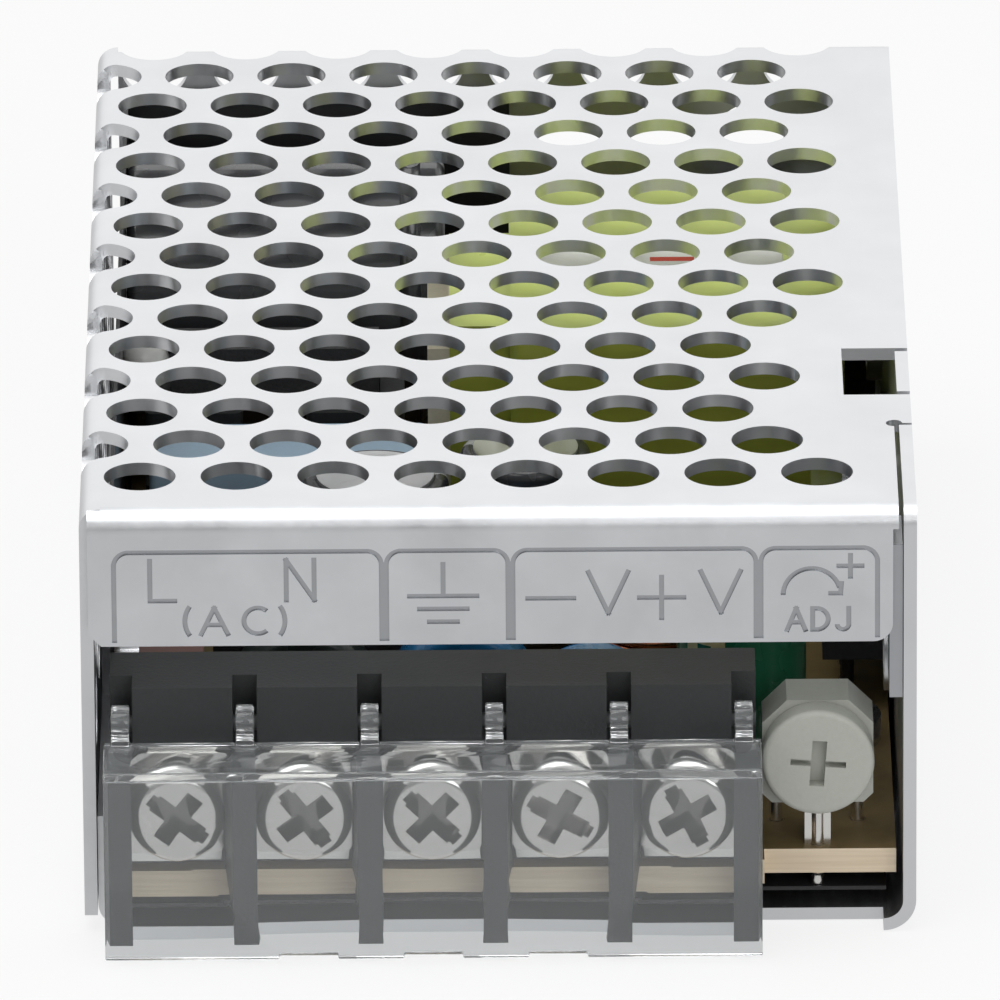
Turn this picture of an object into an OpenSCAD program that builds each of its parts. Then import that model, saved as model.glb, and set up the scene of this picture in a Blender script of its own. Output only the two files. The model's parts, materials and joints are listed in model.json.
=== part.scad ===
// Enclosed switching power supply with a perforated sheet-metal cover.
// Millimetres. X to the right, Y from the terminal end to the rear, Z up.
// The origin is on the underside of the base, below the middle of the case.

/* [Case] */
// Width of the case across the side walls
case_w = 51; // [51:0.5:54]
// Length of the case from the front flange to the rear wall
case_l = 78; // [78:0.5:80]
// Height of the case
case_h = 28; // [28:0.5:29]
// Thickness of the sheet metal
sheet_t = 0.8; // [0.7:0.05:0.8]
// Inner radius of the sheet-metal folds
fold_r = 0.5; // [0.4:0.1:0.5]
// Inner radius of the fold between the base and the right wall
base_fold_r = 1.2; // [1:0.1:1.2]
// Height of the front flange's lower edge above the base
flange_z = 19.3; // [19:0.1:19.5]
// Depth of the marks stamped into the front flange
stamp_depth = 0.15; // [0.1:0.05:0.2]

/* [Perforation] */
// Diameter of the vent holes
vent_d = 4.4; // [4:0.1:4.6]
// Distance between neighbouring vent holes in a row
vent_pitch = 5.91; // [5.85:0.01:5.95]
// Rows of vent holes across the flat top
vent_rows = 14; // [12:1:14]

/* [Terminals] */
// Terminals in the block
ways = 5; // [5:1:5]
// Distance between neighbouring terminals
way_pitch = 7.62; // [7.6:0.01:7.64]
// Thickness of the insulating fins between terminals
fin_t = 1.5; // [1.4:0.1:1.6]
// Height of the terminal screws' axes above the base
screw_z = 8.85; // [8.8:0.05:8.9]
// Diameter of the terminal screws' pan heads
head_d = 5.8; // [5.6:0.1:5.8]
// Distance that a terminal screw backs out before it meets the shut cover
screw_travel = 2; // [1.5:0.1:2]
// Thickness of the clear cover's walls
clear_t = 0.8; // [0.7:0.1:0.8]

/* [Board] */
// Height of the circuit board's underside above the base
board_z = 3.2; // [3.1:0.1:3.3]
// Thickness of the circuit board
board_t = 1.6; // [1.5:0.1:1.6]

/* [Hidden] */
$fn = 64;

eps = 0.01;
side_x = case_w / 2;
front_y = -case_l / 2;
rear_y = case_l / 2;
fold_ro = fold_r + sheet_t;
base_fold_ro = base_fold_r + sheet_t;
m3_tap_r = 1.25;
m3_clear_r = 1.6;

// cover
top_z = case_h - sheet_t;
fold_z = case_h - fold_ro;
left_fold_x = -side_x + fold_ro;
front_fold_y = front_y + fold_ro;
rear_fold_y = rear_y - fold_ro;
cover_foot_z = 1;
flange_left_x = -side_x + 0.5;
flange_right_x = side_x - 1.45;
// gap beside the front flange where the right wall stands, and behind it where the left wall starts
flange_inset = 1.1;
left_inset = 0.9;
overlap_y = front_y + 13.7;
key_y = [front_y + 18.3, front_y + 25.8];
// length of sheet used up by a fold, along its middle surface
fold_length = 3.14159 / 2 * (fold_r + sheet_t * 0.35);

// vent holes
vent_r = vent_d / 2;
vent_row_step = vent_pitch * sqrt(3) / 2;
vent_first_y = front_y + 6.06;
vent_first_x = -side_x + 3.66;
vent_cols = 8;
function vent_row_y(row) = vent_first_y + row * vent_row_step;
// Odd rows start with a hole that is wrapped over the left fold.
function vent_x(row, col) = vent_first_x + vent_pitch * (col - (row % 2) / 2);
// Rows that leave out their last hole beside the key slot
short_rows = [2, 4];
function vent_last(row) = len(search(row, short_rows)) > 0 ? vent_cols - 2 : vent_cols - 1;
left_wall_rows = 3;
rear_wall_rows = 3;
// Height on a folded wall of a point that lies dist past the start of the fold
function wall_z(dist) = fold_z - (dist - fold_length);

// chassis
lip_top_z = 7.3;
lip_x = -side_x + sheet_t + 0.05;
rear_lip_y = rear_y - sheet_t - 0.05;
base_front_y = front_y + 1.7;
wall_top_z = case_h - 0.95;
wall_rear_y = rear_y - 1;
cover_screw_y = [-14, 10];
cover_screw_z = 7.6;
cover_tab_top_z = 11;
base_mount_spacing = 55;
side_mount_spacing = 50;
side_mount_y = front_y + 35;
side_mount_z = 14;
collar_h = 1;
board_screw_xy = [[-20.5, -18], [21, -20.3]];
board_rest_xy = [[-19.5, 30], [1.2, 34.2]];
clip_y = [-11, 31];
clip_screw_z = 19;

// board
board_top = board_z + board_t;
board_x = [-side_x + 2.1, side_x - 1.2];
board_y = [front_y, rear_y - 2.1];
board_step_x = 16.2;
board_step_y = front_y + 1.6;
pin_bottom_z = board_z - 1;

// terminal block
block_x0 = -23.8;
first_way_x = -19.34;
function way_x(k) = first_way_x + way_pitch * k;
function fin_x(k) = first_way_x + way_pitch * (k - 0.5);
block_rear_y = front_y + 6;
block_face_y = front_y + 0.4;
block_step_y = front_y + 1.4;
fin_front_y = front_y - 4;
fin_bottom_z = 1.3;
fin_top_z = 12;
block_top_z = 16.35;
plate_t = 0.8;
plate_y = block_step_y - plate_t;
washer_t = 0.7;
washer_w = 5.8;
washer_y = plate_y - washer_t;
head_t = 2;
head_y = washer_y - head_t;
shank_r = 1.5;
shank_end_y = plate_y + 4.3;

// clear cover
clear_inner_y = head_y - screw_travel - 0.1;
clear_y = clear_inner_y - clear_t;
clear_x = [block_x0 - 0.35, 16];
clear_top_z = 13;
clear_foot_z = 0.55;
clear_rear_y = front_y - 0.2;
peg_r = 0.5;
peg_yz = [front_y + 1, 13.8];
ring_ri = 0.55;
ring_ro = 1.1;
slot_w = 1.5;
ring_w = 1.1;

// trim pot
pot_x = 19.5;
pot_z = 11;
pot_w = 6.8;
pot_face_y = front_y + 0.4;
pot_body_y = [front_y + 2.1, front_y + 5.4];
rotor_r = 3.45;
rotor_shaft_r = 1.2;

// parts on the board: [x, y] centres and sizes
fuse_c = [-20.2, -26.2];
fuse_size = [4, 8.4, 8];
thermistor_c = [-12, -24.5];
y_cap_c = [[-2.2, -24], [5.8, -28.6]];
x_cap_c = [-13.1, -1];
x_cap_size = [17.4, 6, 12];
bridge_c = [-10.5, -17.2];
bridge_size = [14.4, 3.4, 10.5];
main_cap_c = [-13.35, 27.4];
main_cap_r = 9.3;
main_cap_l = 20.3;
choke_c = [-14, 10.6];
trafo_c = [11.4, 12.5];
green_cap_c = [15, -25.2];
out_cap_c = [1.8, -8.2];
start_cap_c = [-7.6, -9.6];
supply_cap_c = [15.9, 31.6];
inductor_c = [9.8, -14.6];
opto_c = [2.6, -19.2];
chip_c = [8.3, 30.8];
pin_r = 0.4;

// Pin positions of every leaded part, used for the pins and for the board's holes
fuse_pins = [for (s = [-1, 1]) fuse_c + [0, s * 2.5]];
thermistor_pins = [for (s = [-1, 1]) thermistor_c + [s * 2.5, 0]];
y_cap_pins = [for (c = y_cap_c, s = [-1, 1]) c + [s * 3.5, 0]];
x_cap_pins = [for (s = [-1, 1]) x_cap_c + [s * 7.5, 0]];
bridge_pins = [for (k = [-1.5:1.5]) bridge_c + [k * 3.8, 0]];
main_cap_pins = [for (s = [-1, 1]) [main_cap_c.x + main_cap_l / 2 + 0.9, main_cap_c.y + s * 3.75]];
choke_pins = [for (sx = [-1, 1], sy = [-1, 1]) choke_c + [sx * 5, sy * 4]];
trafo_rail_x = [-3, 22.4];
trafo_rail_y = 10.8;
trafo_pins = [for (x = trafo_rail_x, k = [-2:2]) [x, trafo_rail_y + k * 3.8]];
green_cap_pins = [for (s = [-1, 1]) green_cap_c + [0, s * 1.75]];
out_cap_pins = [for (s = [-1, 1]) out_cap_c + [s * 1.75, 0]];
start_cap_pins = [for (s = [-1, 1]) start_cap_c + [s * 1.75, 0]];
supply_cap_pins = [for (s = [-1, 1]) supply_cap_c + [s * 1.25, 0]];
inductor_pins = [for (s = [-1, 1]) inductor_c + [s * 2.5, 0]];
opto_pins = [for (sx = [-1, 1], sy = [-1, 1]) opto_c + [sx * 3.81, sy * 1.27]];
chip_pins = [for (sx = [-1, 1], k = [-1.5:1.5]) chip_c + [sx * 3.81, k * 2.54]];
plate_pins = [for (k = [0:ways - 1]) [way_x(k), block_rear_y - 1.4]];
pot_pins = [[pot_x, board_step_y + 0.9],
    [pot_x - 2.5, board_step_y + 4.6], [pot_x + 2.5, board_step_y + 4.6]];
device_x = side_x - sheet_t - 2.9;
device_pins = [for (y = clip_y, k = [-1:1]) [device_x, y + k * 2.54]];
resistor_c = [[-12, -29.8], [13.6, -9.4], [14, -5.8]];
resistor_reach = 4;
resistor_lead_r = 0.3;
resistor_pins = [for (c = resistor_c, s = [-1, 1]) c + [s * resistor_reach, 0]];
all_pins = concat(fuse_pins, thermistor_pins, y_cap_pins, x_cap_pins, bridge_pins, main_cap_pins, choke_pins,
    trafo_pins, green_cap_pins, out_cap_pins, start_cap_pins, supply_cap_pins, inductor_pins, opto_pins,
    chip_pins, plate_pins, pot_pins, device_pins, resistor_pins);

// ---- shared shapes ----

// Box between two opposite corners
module box(a, b) {
    translate(a) cube(b - a);
}

// Quarter of a folded sheet's section, in the +x +y quadrant
module fold(ri, ro) {
    intersection() {
        difference() {
            circle(r = ro);
            circle(r = ri);
        }
        square(ro + 1);
    }
}

// Extrude a section drawn in Y and Z along X
module along_x(x0, x1) {
    translate([x0, 0, 0]) rotate([90, 0, 90]) linear_extrude(x1 - x0) children();
}

// Extrude a section drawn in X and Z along Y
module along_y(y0, y1) {
    translate([0, y1, 0]) rotate([90, 0, 0]) linear_extrude(y1 - y0) children();
}

module disc_x(x0, x1, r) {
    translate([x0, 0, 0]) rotate([0, 90, 0]) cylinder(r = r, h = x1 - x0);
}

module disc_y(y0, y1, r) {
    translate([0, y0, 0]) rotate([-90, 0, 0]) cylinder(r = r, h = y1 - y0);
}

// Square with rounded corners, as exact arcs
module round_square(w, h, r) {
    square([w - 2 * r, h], center = true);
    square([w, h - 2 * r], center = true);
    for (sx = [-1, 1], sy = [-1, 1])
        translate([sx * (w / 2 - r), sy * (h / 2 - r)]) circle(r = r);
}

// Straight round pins from the solder side up into a part
module pins(points, z_top, r = pin_r) {
    for (p = points)
        translate([p.x, p.y, pin_bottom_z]) cylinder(r = r, h = z_top - pin_bottom_z);
}

// Cross recess seen from -Y
module cross_recess(w, l, depth) {
    for (a = [0, 90])
        rotate([0, a, 0]) translate([-l / 2, -eps, -w / 2]) cube([l, depth + eps, w]);
}

// ---- case ----

module chassis() color([0.78, 0.79, 0.8]) {
    difference() {
        union() {
            // base with its two side folds
            along_y(base_front_y, rear_lip_y - fold_ro) {
                translate([lip_x + fold_ro, 0]) square([side_x - base_fold_ro - lip_x - fold_ro, sheet_t]);
                translate([lip_x + fold_ro, fold_ro]) rotate(180) fold(fold_r, fold_ro);
                translate([lip_x, fold_ro - eps]) square([sheet_t, lip_top_z - fold_ro]);
            }
            along_y(front_y, wall_rear_y) {
                translate([side_x - base_fold_ro, base_fold_ro]) rotate(-90) fold(base_fold_r, base_fold_ro);
                translate([side_x - sheet_t, base_fold_ro - eps])
                    square([sheet_t, wall_top_z - base_fold_ro]);
            }
            // taller front end of the right wall, beside the cover
            box([side_x - sheet_t, front_y, wall_top_z - 1], [side_x, overlap_y - 0.3, case_h]);
            // key tab that stands in the cover's slot
            box([side_x - sheet_t, key_y[0] + 0.5, wall_top_z - 1], [side_x, key_y[1] - 0.5, case_h]);
            // rear lip
            along_x(lip_x + 3, side_x - 4) {
                translate([rear_lip_y - fold_ro, fold_ro]) rotate(-90) fold(fold_r, fold_ro);
                translate([rear_lip_y - fold_ro - 1, 0]) square([1 + eps, sheet_t]);
                translate([rear_lip_y - sheet_t, fold_ro - eps]) square([sheet_t, lip_top_z - fold_ro]);
            }
            // tabs on the left lip that take the cover's screws
            for (y = cover_screw_y)
                box([lip_x, y - 4.5, lip_top_z - 1], [lip_x + sheet_t, y + 4.5, cover_tab_top_z]);
            // bosses under the board
            for (p = concat(board_screw_xy, board_rest_xy))
                translate([p.x, p.y, sheet_t - eps]) cylinder(r = 2.6, h = board_z - sheet_t);
            // collars of the tapped mounting holes
            for (s = [-1, 1]) {
                translate([0, s * base_mount_spacing / 2, sheet_t - eps]) cylinder(r = 2.1, h = collar_h);
                translate([0, side_mount_y + s * side_mount_spacing / 2, side_mount_z])
                    disc_x(side_x - sheet_t - collar_h, side_x - sheet_t + eps, 2.1);
            }
        }
        for (y = cover_screw_y)
            translate([0, y, cover_screw_z]) disc_x(lip_x - 1, lip_x + 2, m3_tap_r);
        for (p = board_screw_xy)
            translate([p.x, p.y, -1]) cylinder(r = m3_tap_r, h = board_z + 2);
        for (s = [-1, 1]) {
            translate([0, s * base_mount_spacing / 2, -1]) cylinder(r = m3_tap_r, h = 4);
            translate([0, side_mount_y + s * side_mount_spacing / 2, side_mount_z])
                disc_x(side_x - 4, side_x + 1, m3_tap_r);
        }
        // countersunk holes of the device clips' screws
        for (y = clip_y)
            translate([side_x - sheet_t - eps, y, clip_screw_z])
                rotate([0, 90, 0]) cylinder(r1 = 1.75, r2 = 1.75 + sheet_t + 2 * eps, h = sheet_t + 2 * eps);
        // rounded front corners of the right wall
        translate([side_x, front_y, case_h]) corner_cut_x(1.2);
    }
}

// Removes what lies outside a radius at the top front corner of a wall normal to X
module corner_cut_x(r) {
    translate([-2, 0, 0]) difference() {
        translate([0, -1, -r]) cube([4, 1 + r, r + 1]);
        translate([0, r, -r]) disc_x(-1, 5, r);
    }
}

// The cover is one folded sheet. Its walls are separate nodes that meet face to face at the start of
// each fold, so that each is a flat panel in simulation and the case stays hollow.

// Vent holes drilled down through the flat top and the folds beside it
module top_vents(rows) {
    for (row = rows, col = [0:vent_last(row)])
        translate([vent_x(row, col), vent_row_y(row), fold_z - 0.5]) cylinder(r = vent_r, h = fold_ro + 1.5);
}

module mesh_cover_top() color([0.86, 0.87, 0.88]) {
    difference() {
        union() {
            box([left_fold_x, overlap_y, top_z], [side_x, rear_fold_y, case_h]);
            box([left_fold_x, front_fold_y, top_z], [side_x - flange_inset, overlap_y + 1, case_h]);
        }
        top_vents([0:vent_rows]);
        // slot for the key tab
        box([side_x - 4.1, key_y[0], top_z - 1], [side_x + 1, key_y[1], case_h + 1]);
        // relief where the overlap starts
        translate([side_x - flange_inset, overlap_y, top_z - 1]) cylinder(r = 0.5, h = 3);
    }
}

module mesh_cover_front() color([0.86, 0.87, 0.88]) {
    difference() {
        union() {
            // fold, which stops at the left wall's fold behind its front end
            along_x(left_fold_x, side_x - flange_inset) front_fold();
            intersection() {
                along_x(flange_left_x, left_fold_x) front_fold();
                box([-side_x, front_y - 1, flange_z], [side_x, front_y + left_inset, case_h + 1]);
            }
            along_y(front_y, front_y + sheet_t) difference() {
                translate([flange_left_x, flange_z])
                    square([flange_right_x - flange_left_x, fold_z - flange_z + eps]);
                translate([flange_left_x, flange_z]) rotate(45) square(1.1, center = true);
                difference() {
                    translate([flange_right_x - 1.2, flange_z - 1]) square([2.2, 2.2]);
                    translate([flange_right_x - 1.2, flange_z + 1.2]) circle(r = 1.2);
                }
            }
            // side tab folded back from the flange, inside the right wall
            box([side_x - 1.65, front_y + 0.4, 15.4], [side_x - 0.85, front_y + 5, 25.5]);
        }
        stamped_marks();
    }
}

module front_fold() {
    translate([front_fold_y, fold_z]) rotate(90) fold(fold_r, fold_ro);
}

module mesh_cover_left() color([0.86, 0.87, 0.88]) {
    difference() {
        along_y(front_y + left_inset, rear_y - 0.2) {
            translate([left_fold_x, fold_z]) rotate(90) fold(fold_r, fold_ro);
            translate([-side_x, cover_foot_z]) square([sheet_t, fold_z - cover_foot_z + eps]);
        }
        top_vents([0:vent_rows]);
        // holes wrapped over the fold in the odd rows, and the wall's own
        for (row = [0:vent_rows - 1], j = [0:left_wall_rows - 1]) {
            dist = left_fold_x - vent_x(row, 0) + vent_pitch * (j + (row % 2 == 0 ? 1 : 0));
            translate([0, vent_row_y(row), wall_z(dist)])
                disc_x(-side_x - 1, -side_x + sheet_t + 0.1, vent_r);
        }
        // countersunk screw holes
        for (y = cover_screw_y)
            translate([-side_x - eps, y, cover_screw_z])
                rotate([0, 90, 0]) cylinder(r1 = 2.75, r2 = 1.95 - eps, h = sheet_t + 2 * eps);
    }
}

module mesh_cover_rear() color([0.86, 0.87, 0.88]) {
    difference() {
        along_x(left_fold_x, side_x) {
            translate([rear_fold_y, fold_z]) fold(fold_r, fold_ro);
            translate([rear_y - sheet_t, cover_foot_z]) square([sheet_t, fold_z - cover_foot_z + eps]);
        }
        // holes over the fold, and the wall's own
        top_vents([vent_rows:vent_rows]);
        for (j = [0:rear_wall_rows], col = [j % 2:vent_cols - 1])
            translate([vent_x(j, col), 0, wall_z(vent_row_y(vent_rows + j) - rear_fold_y)])
                disc_y(rear_y - sheet_t - 0.1, rear_y + 1, vent_r);
    }
}

// ---- marks stamped into the front flange, drawn in X and Z ----

mark_w = 0.3;

// Straight stroke between two points
module stroke(a, b, w = mark_w) {
    d = b - a;
    translate(a) rotate(atan2(d.y, d.x)) translate([-w / 2, -w / 2]) square([norm(d) + w, w]);
}

module strokes(points, w = mark_w) {
    for (i = [0:len(points) - 2]) stroke(points[i], points[i + 1], w);
}

// Arc of a stroke about the origin, counter-clockwise from angle a0 to a1, less than 180 degrees apart
module arc_stroke(r, a0, a1, w = mark_w) {
    far = 2 * r + 2;
    intersection() {
        difference() {
            circle(r = r + w / 2);
            circle(r = r - w / 2);
        }
        polygon([[0, 0], far * [cos(a0), sin(a0)], far * [cos((a0 + a1) / 2), sin((a0 + a1) / 2)],
            far * [cos(a1), sin(a1)]]);
    }
}

// Outline of one terminal's field: open at the bottom, with rounded top corners
module field_outline(x0, x1, z0, z1, r = 0.9) {
    stroke([x0, z0], [x0, z1 - r]);
    stroke([x1, z0], [x1, z1 - r]);
    stroke([x0 + r, z1], [x1 - r, z1]);
    translate([x0 + r, z1 - r]) arc_stroke(r, 90, 180);
    translate([x1 - r, z1 - r]) arc_stroke(r, 0, 90);
}

module letter_a(w, h) {
    strokes([[0, 0], [w / 2, h], [w, 0]]);
    stroke([w * 0.2, h * 0.35], [w * 0.8, h * 0.35]);
}

module letter_c(w, h) {
    translate([w / 2, h / 2]) {
        arc_stroke(h / 2, 50, 180);
        arc_stroke(h / 2, 180, 310);
    }
}

module letter_d(w, h) {
    strokes([[w - h / 2, h], [0, h], [0, 0], [w - h / 2, 0]]);
    translate([w - h / 2, h / 2]) {
        arc_stroke(h / 2, -90, 0);
        arc_stroke(h / 2, 0, 90);
    }
}

module letter_j(w, h) {
    stroke([w, h], [w, w / 2]);
    translate([w / 2, w / 2]) {
        arc_stroke(w / 2, 270, 360);
        arc_stroke(w / 2, 180, 270);
    }
}

module letter_v(w, h) {
    strokes([[0, h], [w / 2, 0], [w, h]]);
}

module plus_mark(c, size) {
    stroke(c - [size / 2, 0], c + [size / 2, 0]);
    stroke(c - [0, size / 2], c + [0, size / 2]);
}

module stamped_marks() {
    big_z = 22.3;
    big_h = 2.65;
    small_z = 20.1;
    small_h = 1.7;
    field_z = flange_z + 0.4;
    along_y(front_y - 1, front_y + stamp_depth) {
        field_outline(-23.4, -7.1, field_z, 25.5);
        field_outline(-6.8, 0.6, field_z, 25.5);
        field_outline(0.9, 15.7, field_z, 25.5);
        field_outline(16, 23.1, field_z, 25.5);
        // line and neutral, alternating current
        strokes([[-21.2, big_z + big_h], [-21.2, big_z], [-19.7, big_z]]);
        strokes([[-12.9, big_z], [-12.9, big_z + big_h], [-11.2, big_z], [-11.2, big_z + big_h]]);
        translate([-18.1, small_z]) letter_a(1.6, small_h);
        translate([-15.4, small_z]) letter_c(1.5, small_h);
        translate([-17.4, small_z + small_h / 2]) arc_stroke(1.7, 145, 215);
        translate([-14.7, small_z + small_h / 2]) arc_stroke(1.7, -35, 35);
        // earth
        stroke([-3.35, 22.5], [-3.35, 24.6]);
        for (k = [0:2]) stroke([-5.4 + 0.6 * k, 22.5 - 0.85 * k], [-1.3 - 0.6 * k, 22.5 - 0.85 * k]);
        // direct current, minus and plus
        stroke([1.8, 22.3], [4.6, 22.3]);
        translate([5.5, 21.3]) letter_v(2.4, 2.7);
        plus_mark([9.95, 22.3], 2.7);
        translate([12.35, 21.3]) letter_v(2.4, 2.7);
        // adjustment
        translate([19.1, 22.4]) {
            arc_stroke(1.75, 15, 98);
            arc_stroke(1.75, 98, 180);
            stroke([1.15, 0.1], [1.75, 0.1]);
            stroke([1.75, 0.1], [1.8, 0.75]);
        }
        plus_mark([21.45, 24.3], 1.4);
        translate([17.6, small_z]) letter_a(1.1, 1.4);
        translate([19.15, small_z]) letter_d(0.95, 1.4);
        translate([20.65, small_z]) letter_j(0.7, 1.4);
    }
}

module cover_screws() color([0.72, 0.73, 0.75]) {
    for (y = cover_screw_y)
        translate([0, y, cover_screw_z]) difference() {
            union() {
                translate([-side_x, 0, 0]) rotate([0, 90, 0]) cylinder(r1 = 2.7, r2 = 1.9, h = sheet_t);
                disc_x(-side_x + sheet_t - 0.1, -side_x + 3.3, m3_tap_r - 0.05);
            }
            for (a = [0, 90]) rotate([a, 0, 0])
                box([-side_x - eps, -1.3, -0.3], [-side_x + 0.6, 1.3, 0.3]);
        }
}

module insulation_sheet() color([0.09, 0.09, 0.1]) {
    t = 0.25;
    z0 = board_z - 1.3;
    x0 = board_x[0] - 0.4;
    y0 = block_rear_y + 0.4;
    y1 = board_y[1] + 0.4;
    difference() {
        union() {
            box([x0, board_step_y + 0.3, z0], [board_x[1] - 0.6, y1, z0 + t]);
            box([x0, y0, z0], [x0 + t, y1, 25]);
            box([x0, y1 - t, z0], [1, y1, 25]);
        }
        for (p = concat(board_screw_xy, board_rest_xy))
            translate([p.x, p.y, z0 - 1]) cylinder(r = 2.9, h = 3);
        for (y = cover_screw_y) translate([0, y, cover_screw_z]) disc_x(x0 - 1, x0 + 2, 2);
    }
}

// ---- board ----

module circuit_board() color([0.66, 0.56, 0.36]) {
    difference() {
        union() {
            box([board_x[0], board_y[0], board_z], [board_step_x, board_y[1], board_top]);
            box([board_step_x - 1, board_step_y, board_z], [board_x[1], board_y[1], board_top]);
        }
        for (p = all_pins) translate([p.x, p.y, board_z - 1]) cylinder(r = pin_r + 0.08, h = board_t + 2);
        for (p = board_screw_xy) translate([p.x, p.y, board_z - 1]) cylinder(r = m3_clear_r, h = board_t + 2);
    }
}

module board_screws() color([0.75, 0.76, 0.78]) {
    for (p = board_screw_xy)
        translate([p.x, p.y, 0]) difference() {
            union() {
                translate([0, 0, board_top]) cylinder(r = 2.75, h = 1.6);
                translate([0, 0, 0.4]) cylinder(r = m3_tap_r - 0.05, h = board_top);
            }
            translate([0, 0, board_top + 1.7]) rotate([-90, 0, 0]) cross_recess(0.6, 3, 1.1);
        }
}

// ---- terminals ----

module terminal_block() color([0.13, 0.13, 0.14]) {
    x1 = fin_x(ways) + fin_t / 2;
    difference() {
        union() {
            box([block_x0, block_step_y, board_top], [x1, block_rear_y, fin_top_z + 0.4]);
            box([block_x0, block_face_y, fin_top_z + 0.4 - eps], [x1, block_rear_y, block_top_z]);
            for (k = [0:ways])
                box([max(block_x0, fin_x(k) - fin_t / 2), fin_front_y, fin_bottom_z],
                    [fin_x(k) + fin_t / 2, block_step_y + eps, fin_top_z]);
        }
        // room for the board's edge behind the hanging fins
        box([block_x0 - 1, board_y[0] - 0.1, 0], [x1 + 1, block_rear_y, board_top]);
        // slots for the clear cover's arms
        for (k = [0:ways])
            box([fin_x(k) - slot_w / 2, front_y - 1.2, fin_top_z - 0.4],
                [fin_x(k) + slot_w / 2, front_y + 2.4, block_top_z + 1]);
        // bores behind the plates
        for (k = [0:ways - 1])
            translate([way_x(k), 0, screw_z]) disc_y(block_step_y - 1, shank_end_y + 0.5, m3_clear_r);
        // channels of the plates' tails
        for (p = plate_pins) translate([p.x, p.y, board_top - 1]) cylinder(r = pin_r + 0.08, h = 2.3);
    }
    // pegs that the clear cover snaps on
    for (k = [0:ways]) {
        peg_x = [max(block_x0, fin_x(k) - slot_w / 2 - 0.3), fin_x(k) + slot_w / 2 + (k < ways ? 0.3 : 0)];
        translate([0, peg_yz[0], peg_yz[1]]) disc_x(peg_x[0], peg_x[1], peg_r);
    }
}

module terminal_plates() color([0.8, 0.8, 0.78]) {
    for (k = [0:ways - 1]) {
        difference() {
            translate([way_x(k), 0, 0]) along_y(plate_y, block_step_y) {
                translate([-2.8, board_top + 0.4]) square([5.6, 5.6]);
                translate([-2.2, board_top + 5]) square([4.4, fin_top_z + 0.2 - board_top - 5]);
            }
            translate([way_x(k), 0, screw_z]) disc_y(plate_y - 1, block_step_y + 1, shank_r + 0.05);
        }
        // tail through the board
        pins([plate_pins[k]], board_top + 1.2);
    }
}

module clamp_washer(k) color([0.82, 0.82, 0.8]) {
    difference() {
        translate([way_x(k), 0, screw_z]) along_y(washer_y, plate_y) round_square(washer_w, washer_w, 0.5);
        translate([way_x(k), 0, screw_z]) disc_y(washer_y - 1, plate_y + 1, shank_r + 0.05);
    }
}

// Pan head with a rounded rim, a shank, and a recess that takes a cross or a flat blade
module terminal_screw(k) color([0.8, 0.8, 0.79]) {
    turn = [38, 52, 44, 30, 60][k];
    rim = 0.7;
    translate([way_x(k), head_y, screw_z]) difference() {
        rotate([-90, 0, 0]) union() {
            rotate_extrude() {
                square([head_d / 2 - rim, head_t]);
                translate([0, rim]) square([head_d / 2, head_t - rim]);
                translate([head_d / 2 - rim, rim]) circle(r = rim);
            }
            cylinder(r = shank_r, h = shank_end_y - head_y);
        }
        rotate([0, turn, 0]) {
            cross_recess(1.15, 3.5, 1.4);
            translate([-2.1, -eps, -0.4]) cube([4.2, 0.9, 0.8]);
        }
    }
}

module terminal_cover() color([0.85, 0.9, 0.92, 0.35]) {
    x0 = clear_x[0];
    x1 = clear_x[1];
    difference() {
        union() {
            // top plate, front plate and its thicker foot
            box([x0, clear_y, clear_top_z - clear_t], [x1, clear_rear_y, clear_top_z]);
            box([x0, clear_y, clear_foot_z], [x1, clear_inner_y, clear_top_z]);
            for (k = [0:ways]) clear_arm(fin_x(k));
        }
        // shallow finger notches in the foot
        for (k = [1:3])
            box([way_x(k) - 1.8, clear_y - 1, clear_foot_z - 1],
                [way_x(k) + 1.8, clear_inner_y + 1, clear_foot_z + 0.25]);
    }
}

// Arm with a split eye that snaps on a peg of the block
module clear_arm(x) {
    x0 = x - ring_w / 2;
    x1 = x + ring_w / 2;
    difference() {
        union() {
            translate([0, peg_yz[0], peg_yz[1]]) disc_x(x0, x1, ring_ro);
            box([x0, clear_rear_y - 0.6, clear_top_z - clear_t], [x1, peg_yz[0], peg_yz[1] - 0.2]);
            box([x0, clear_rear_y - 0.6, clear_top_z - clear_t], [x1, peg_yz[0] - 0.4, peg_yz[1]]);
        }
        translate([0, peg_yz[0], peg_yz[1]]) disc_x(x0 - 1, x1 + 1, ring_ri);
        // mouth of the eye, narrower than the peg
        box([x0 - 1, peg_yz[0] - 0.4, peg_yz[1]], [x1 + 1, peg_yz[0] + 0.4, peg_yz[1] + 2]);
    }
}

// ---- trim pot ----

module trim_pot_body() color([0.85, 0.86, 0.82]) {
    c = 1.5;
    h = pot_w / 2;
    difference() {
        translate([pot_x, 0, pot_z + 0.1]) along_y(pot_body_y[0], pot_body_y[1])
            polygon([[-h, -h + 0.6], [-h + 0.6, -h], [h - 0.6, -h], [h, -h + 0.6], [h, h - c], [h - c, h],
                [-h + c, h], [-h, h - c]]);
        translate([pot_x, 0, pot_z]) disc_y(pot_body_y[0] - 1, pot_body_y[0] + 1.7, rotor_shaft_r + 0.05);
    }
}

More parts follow.
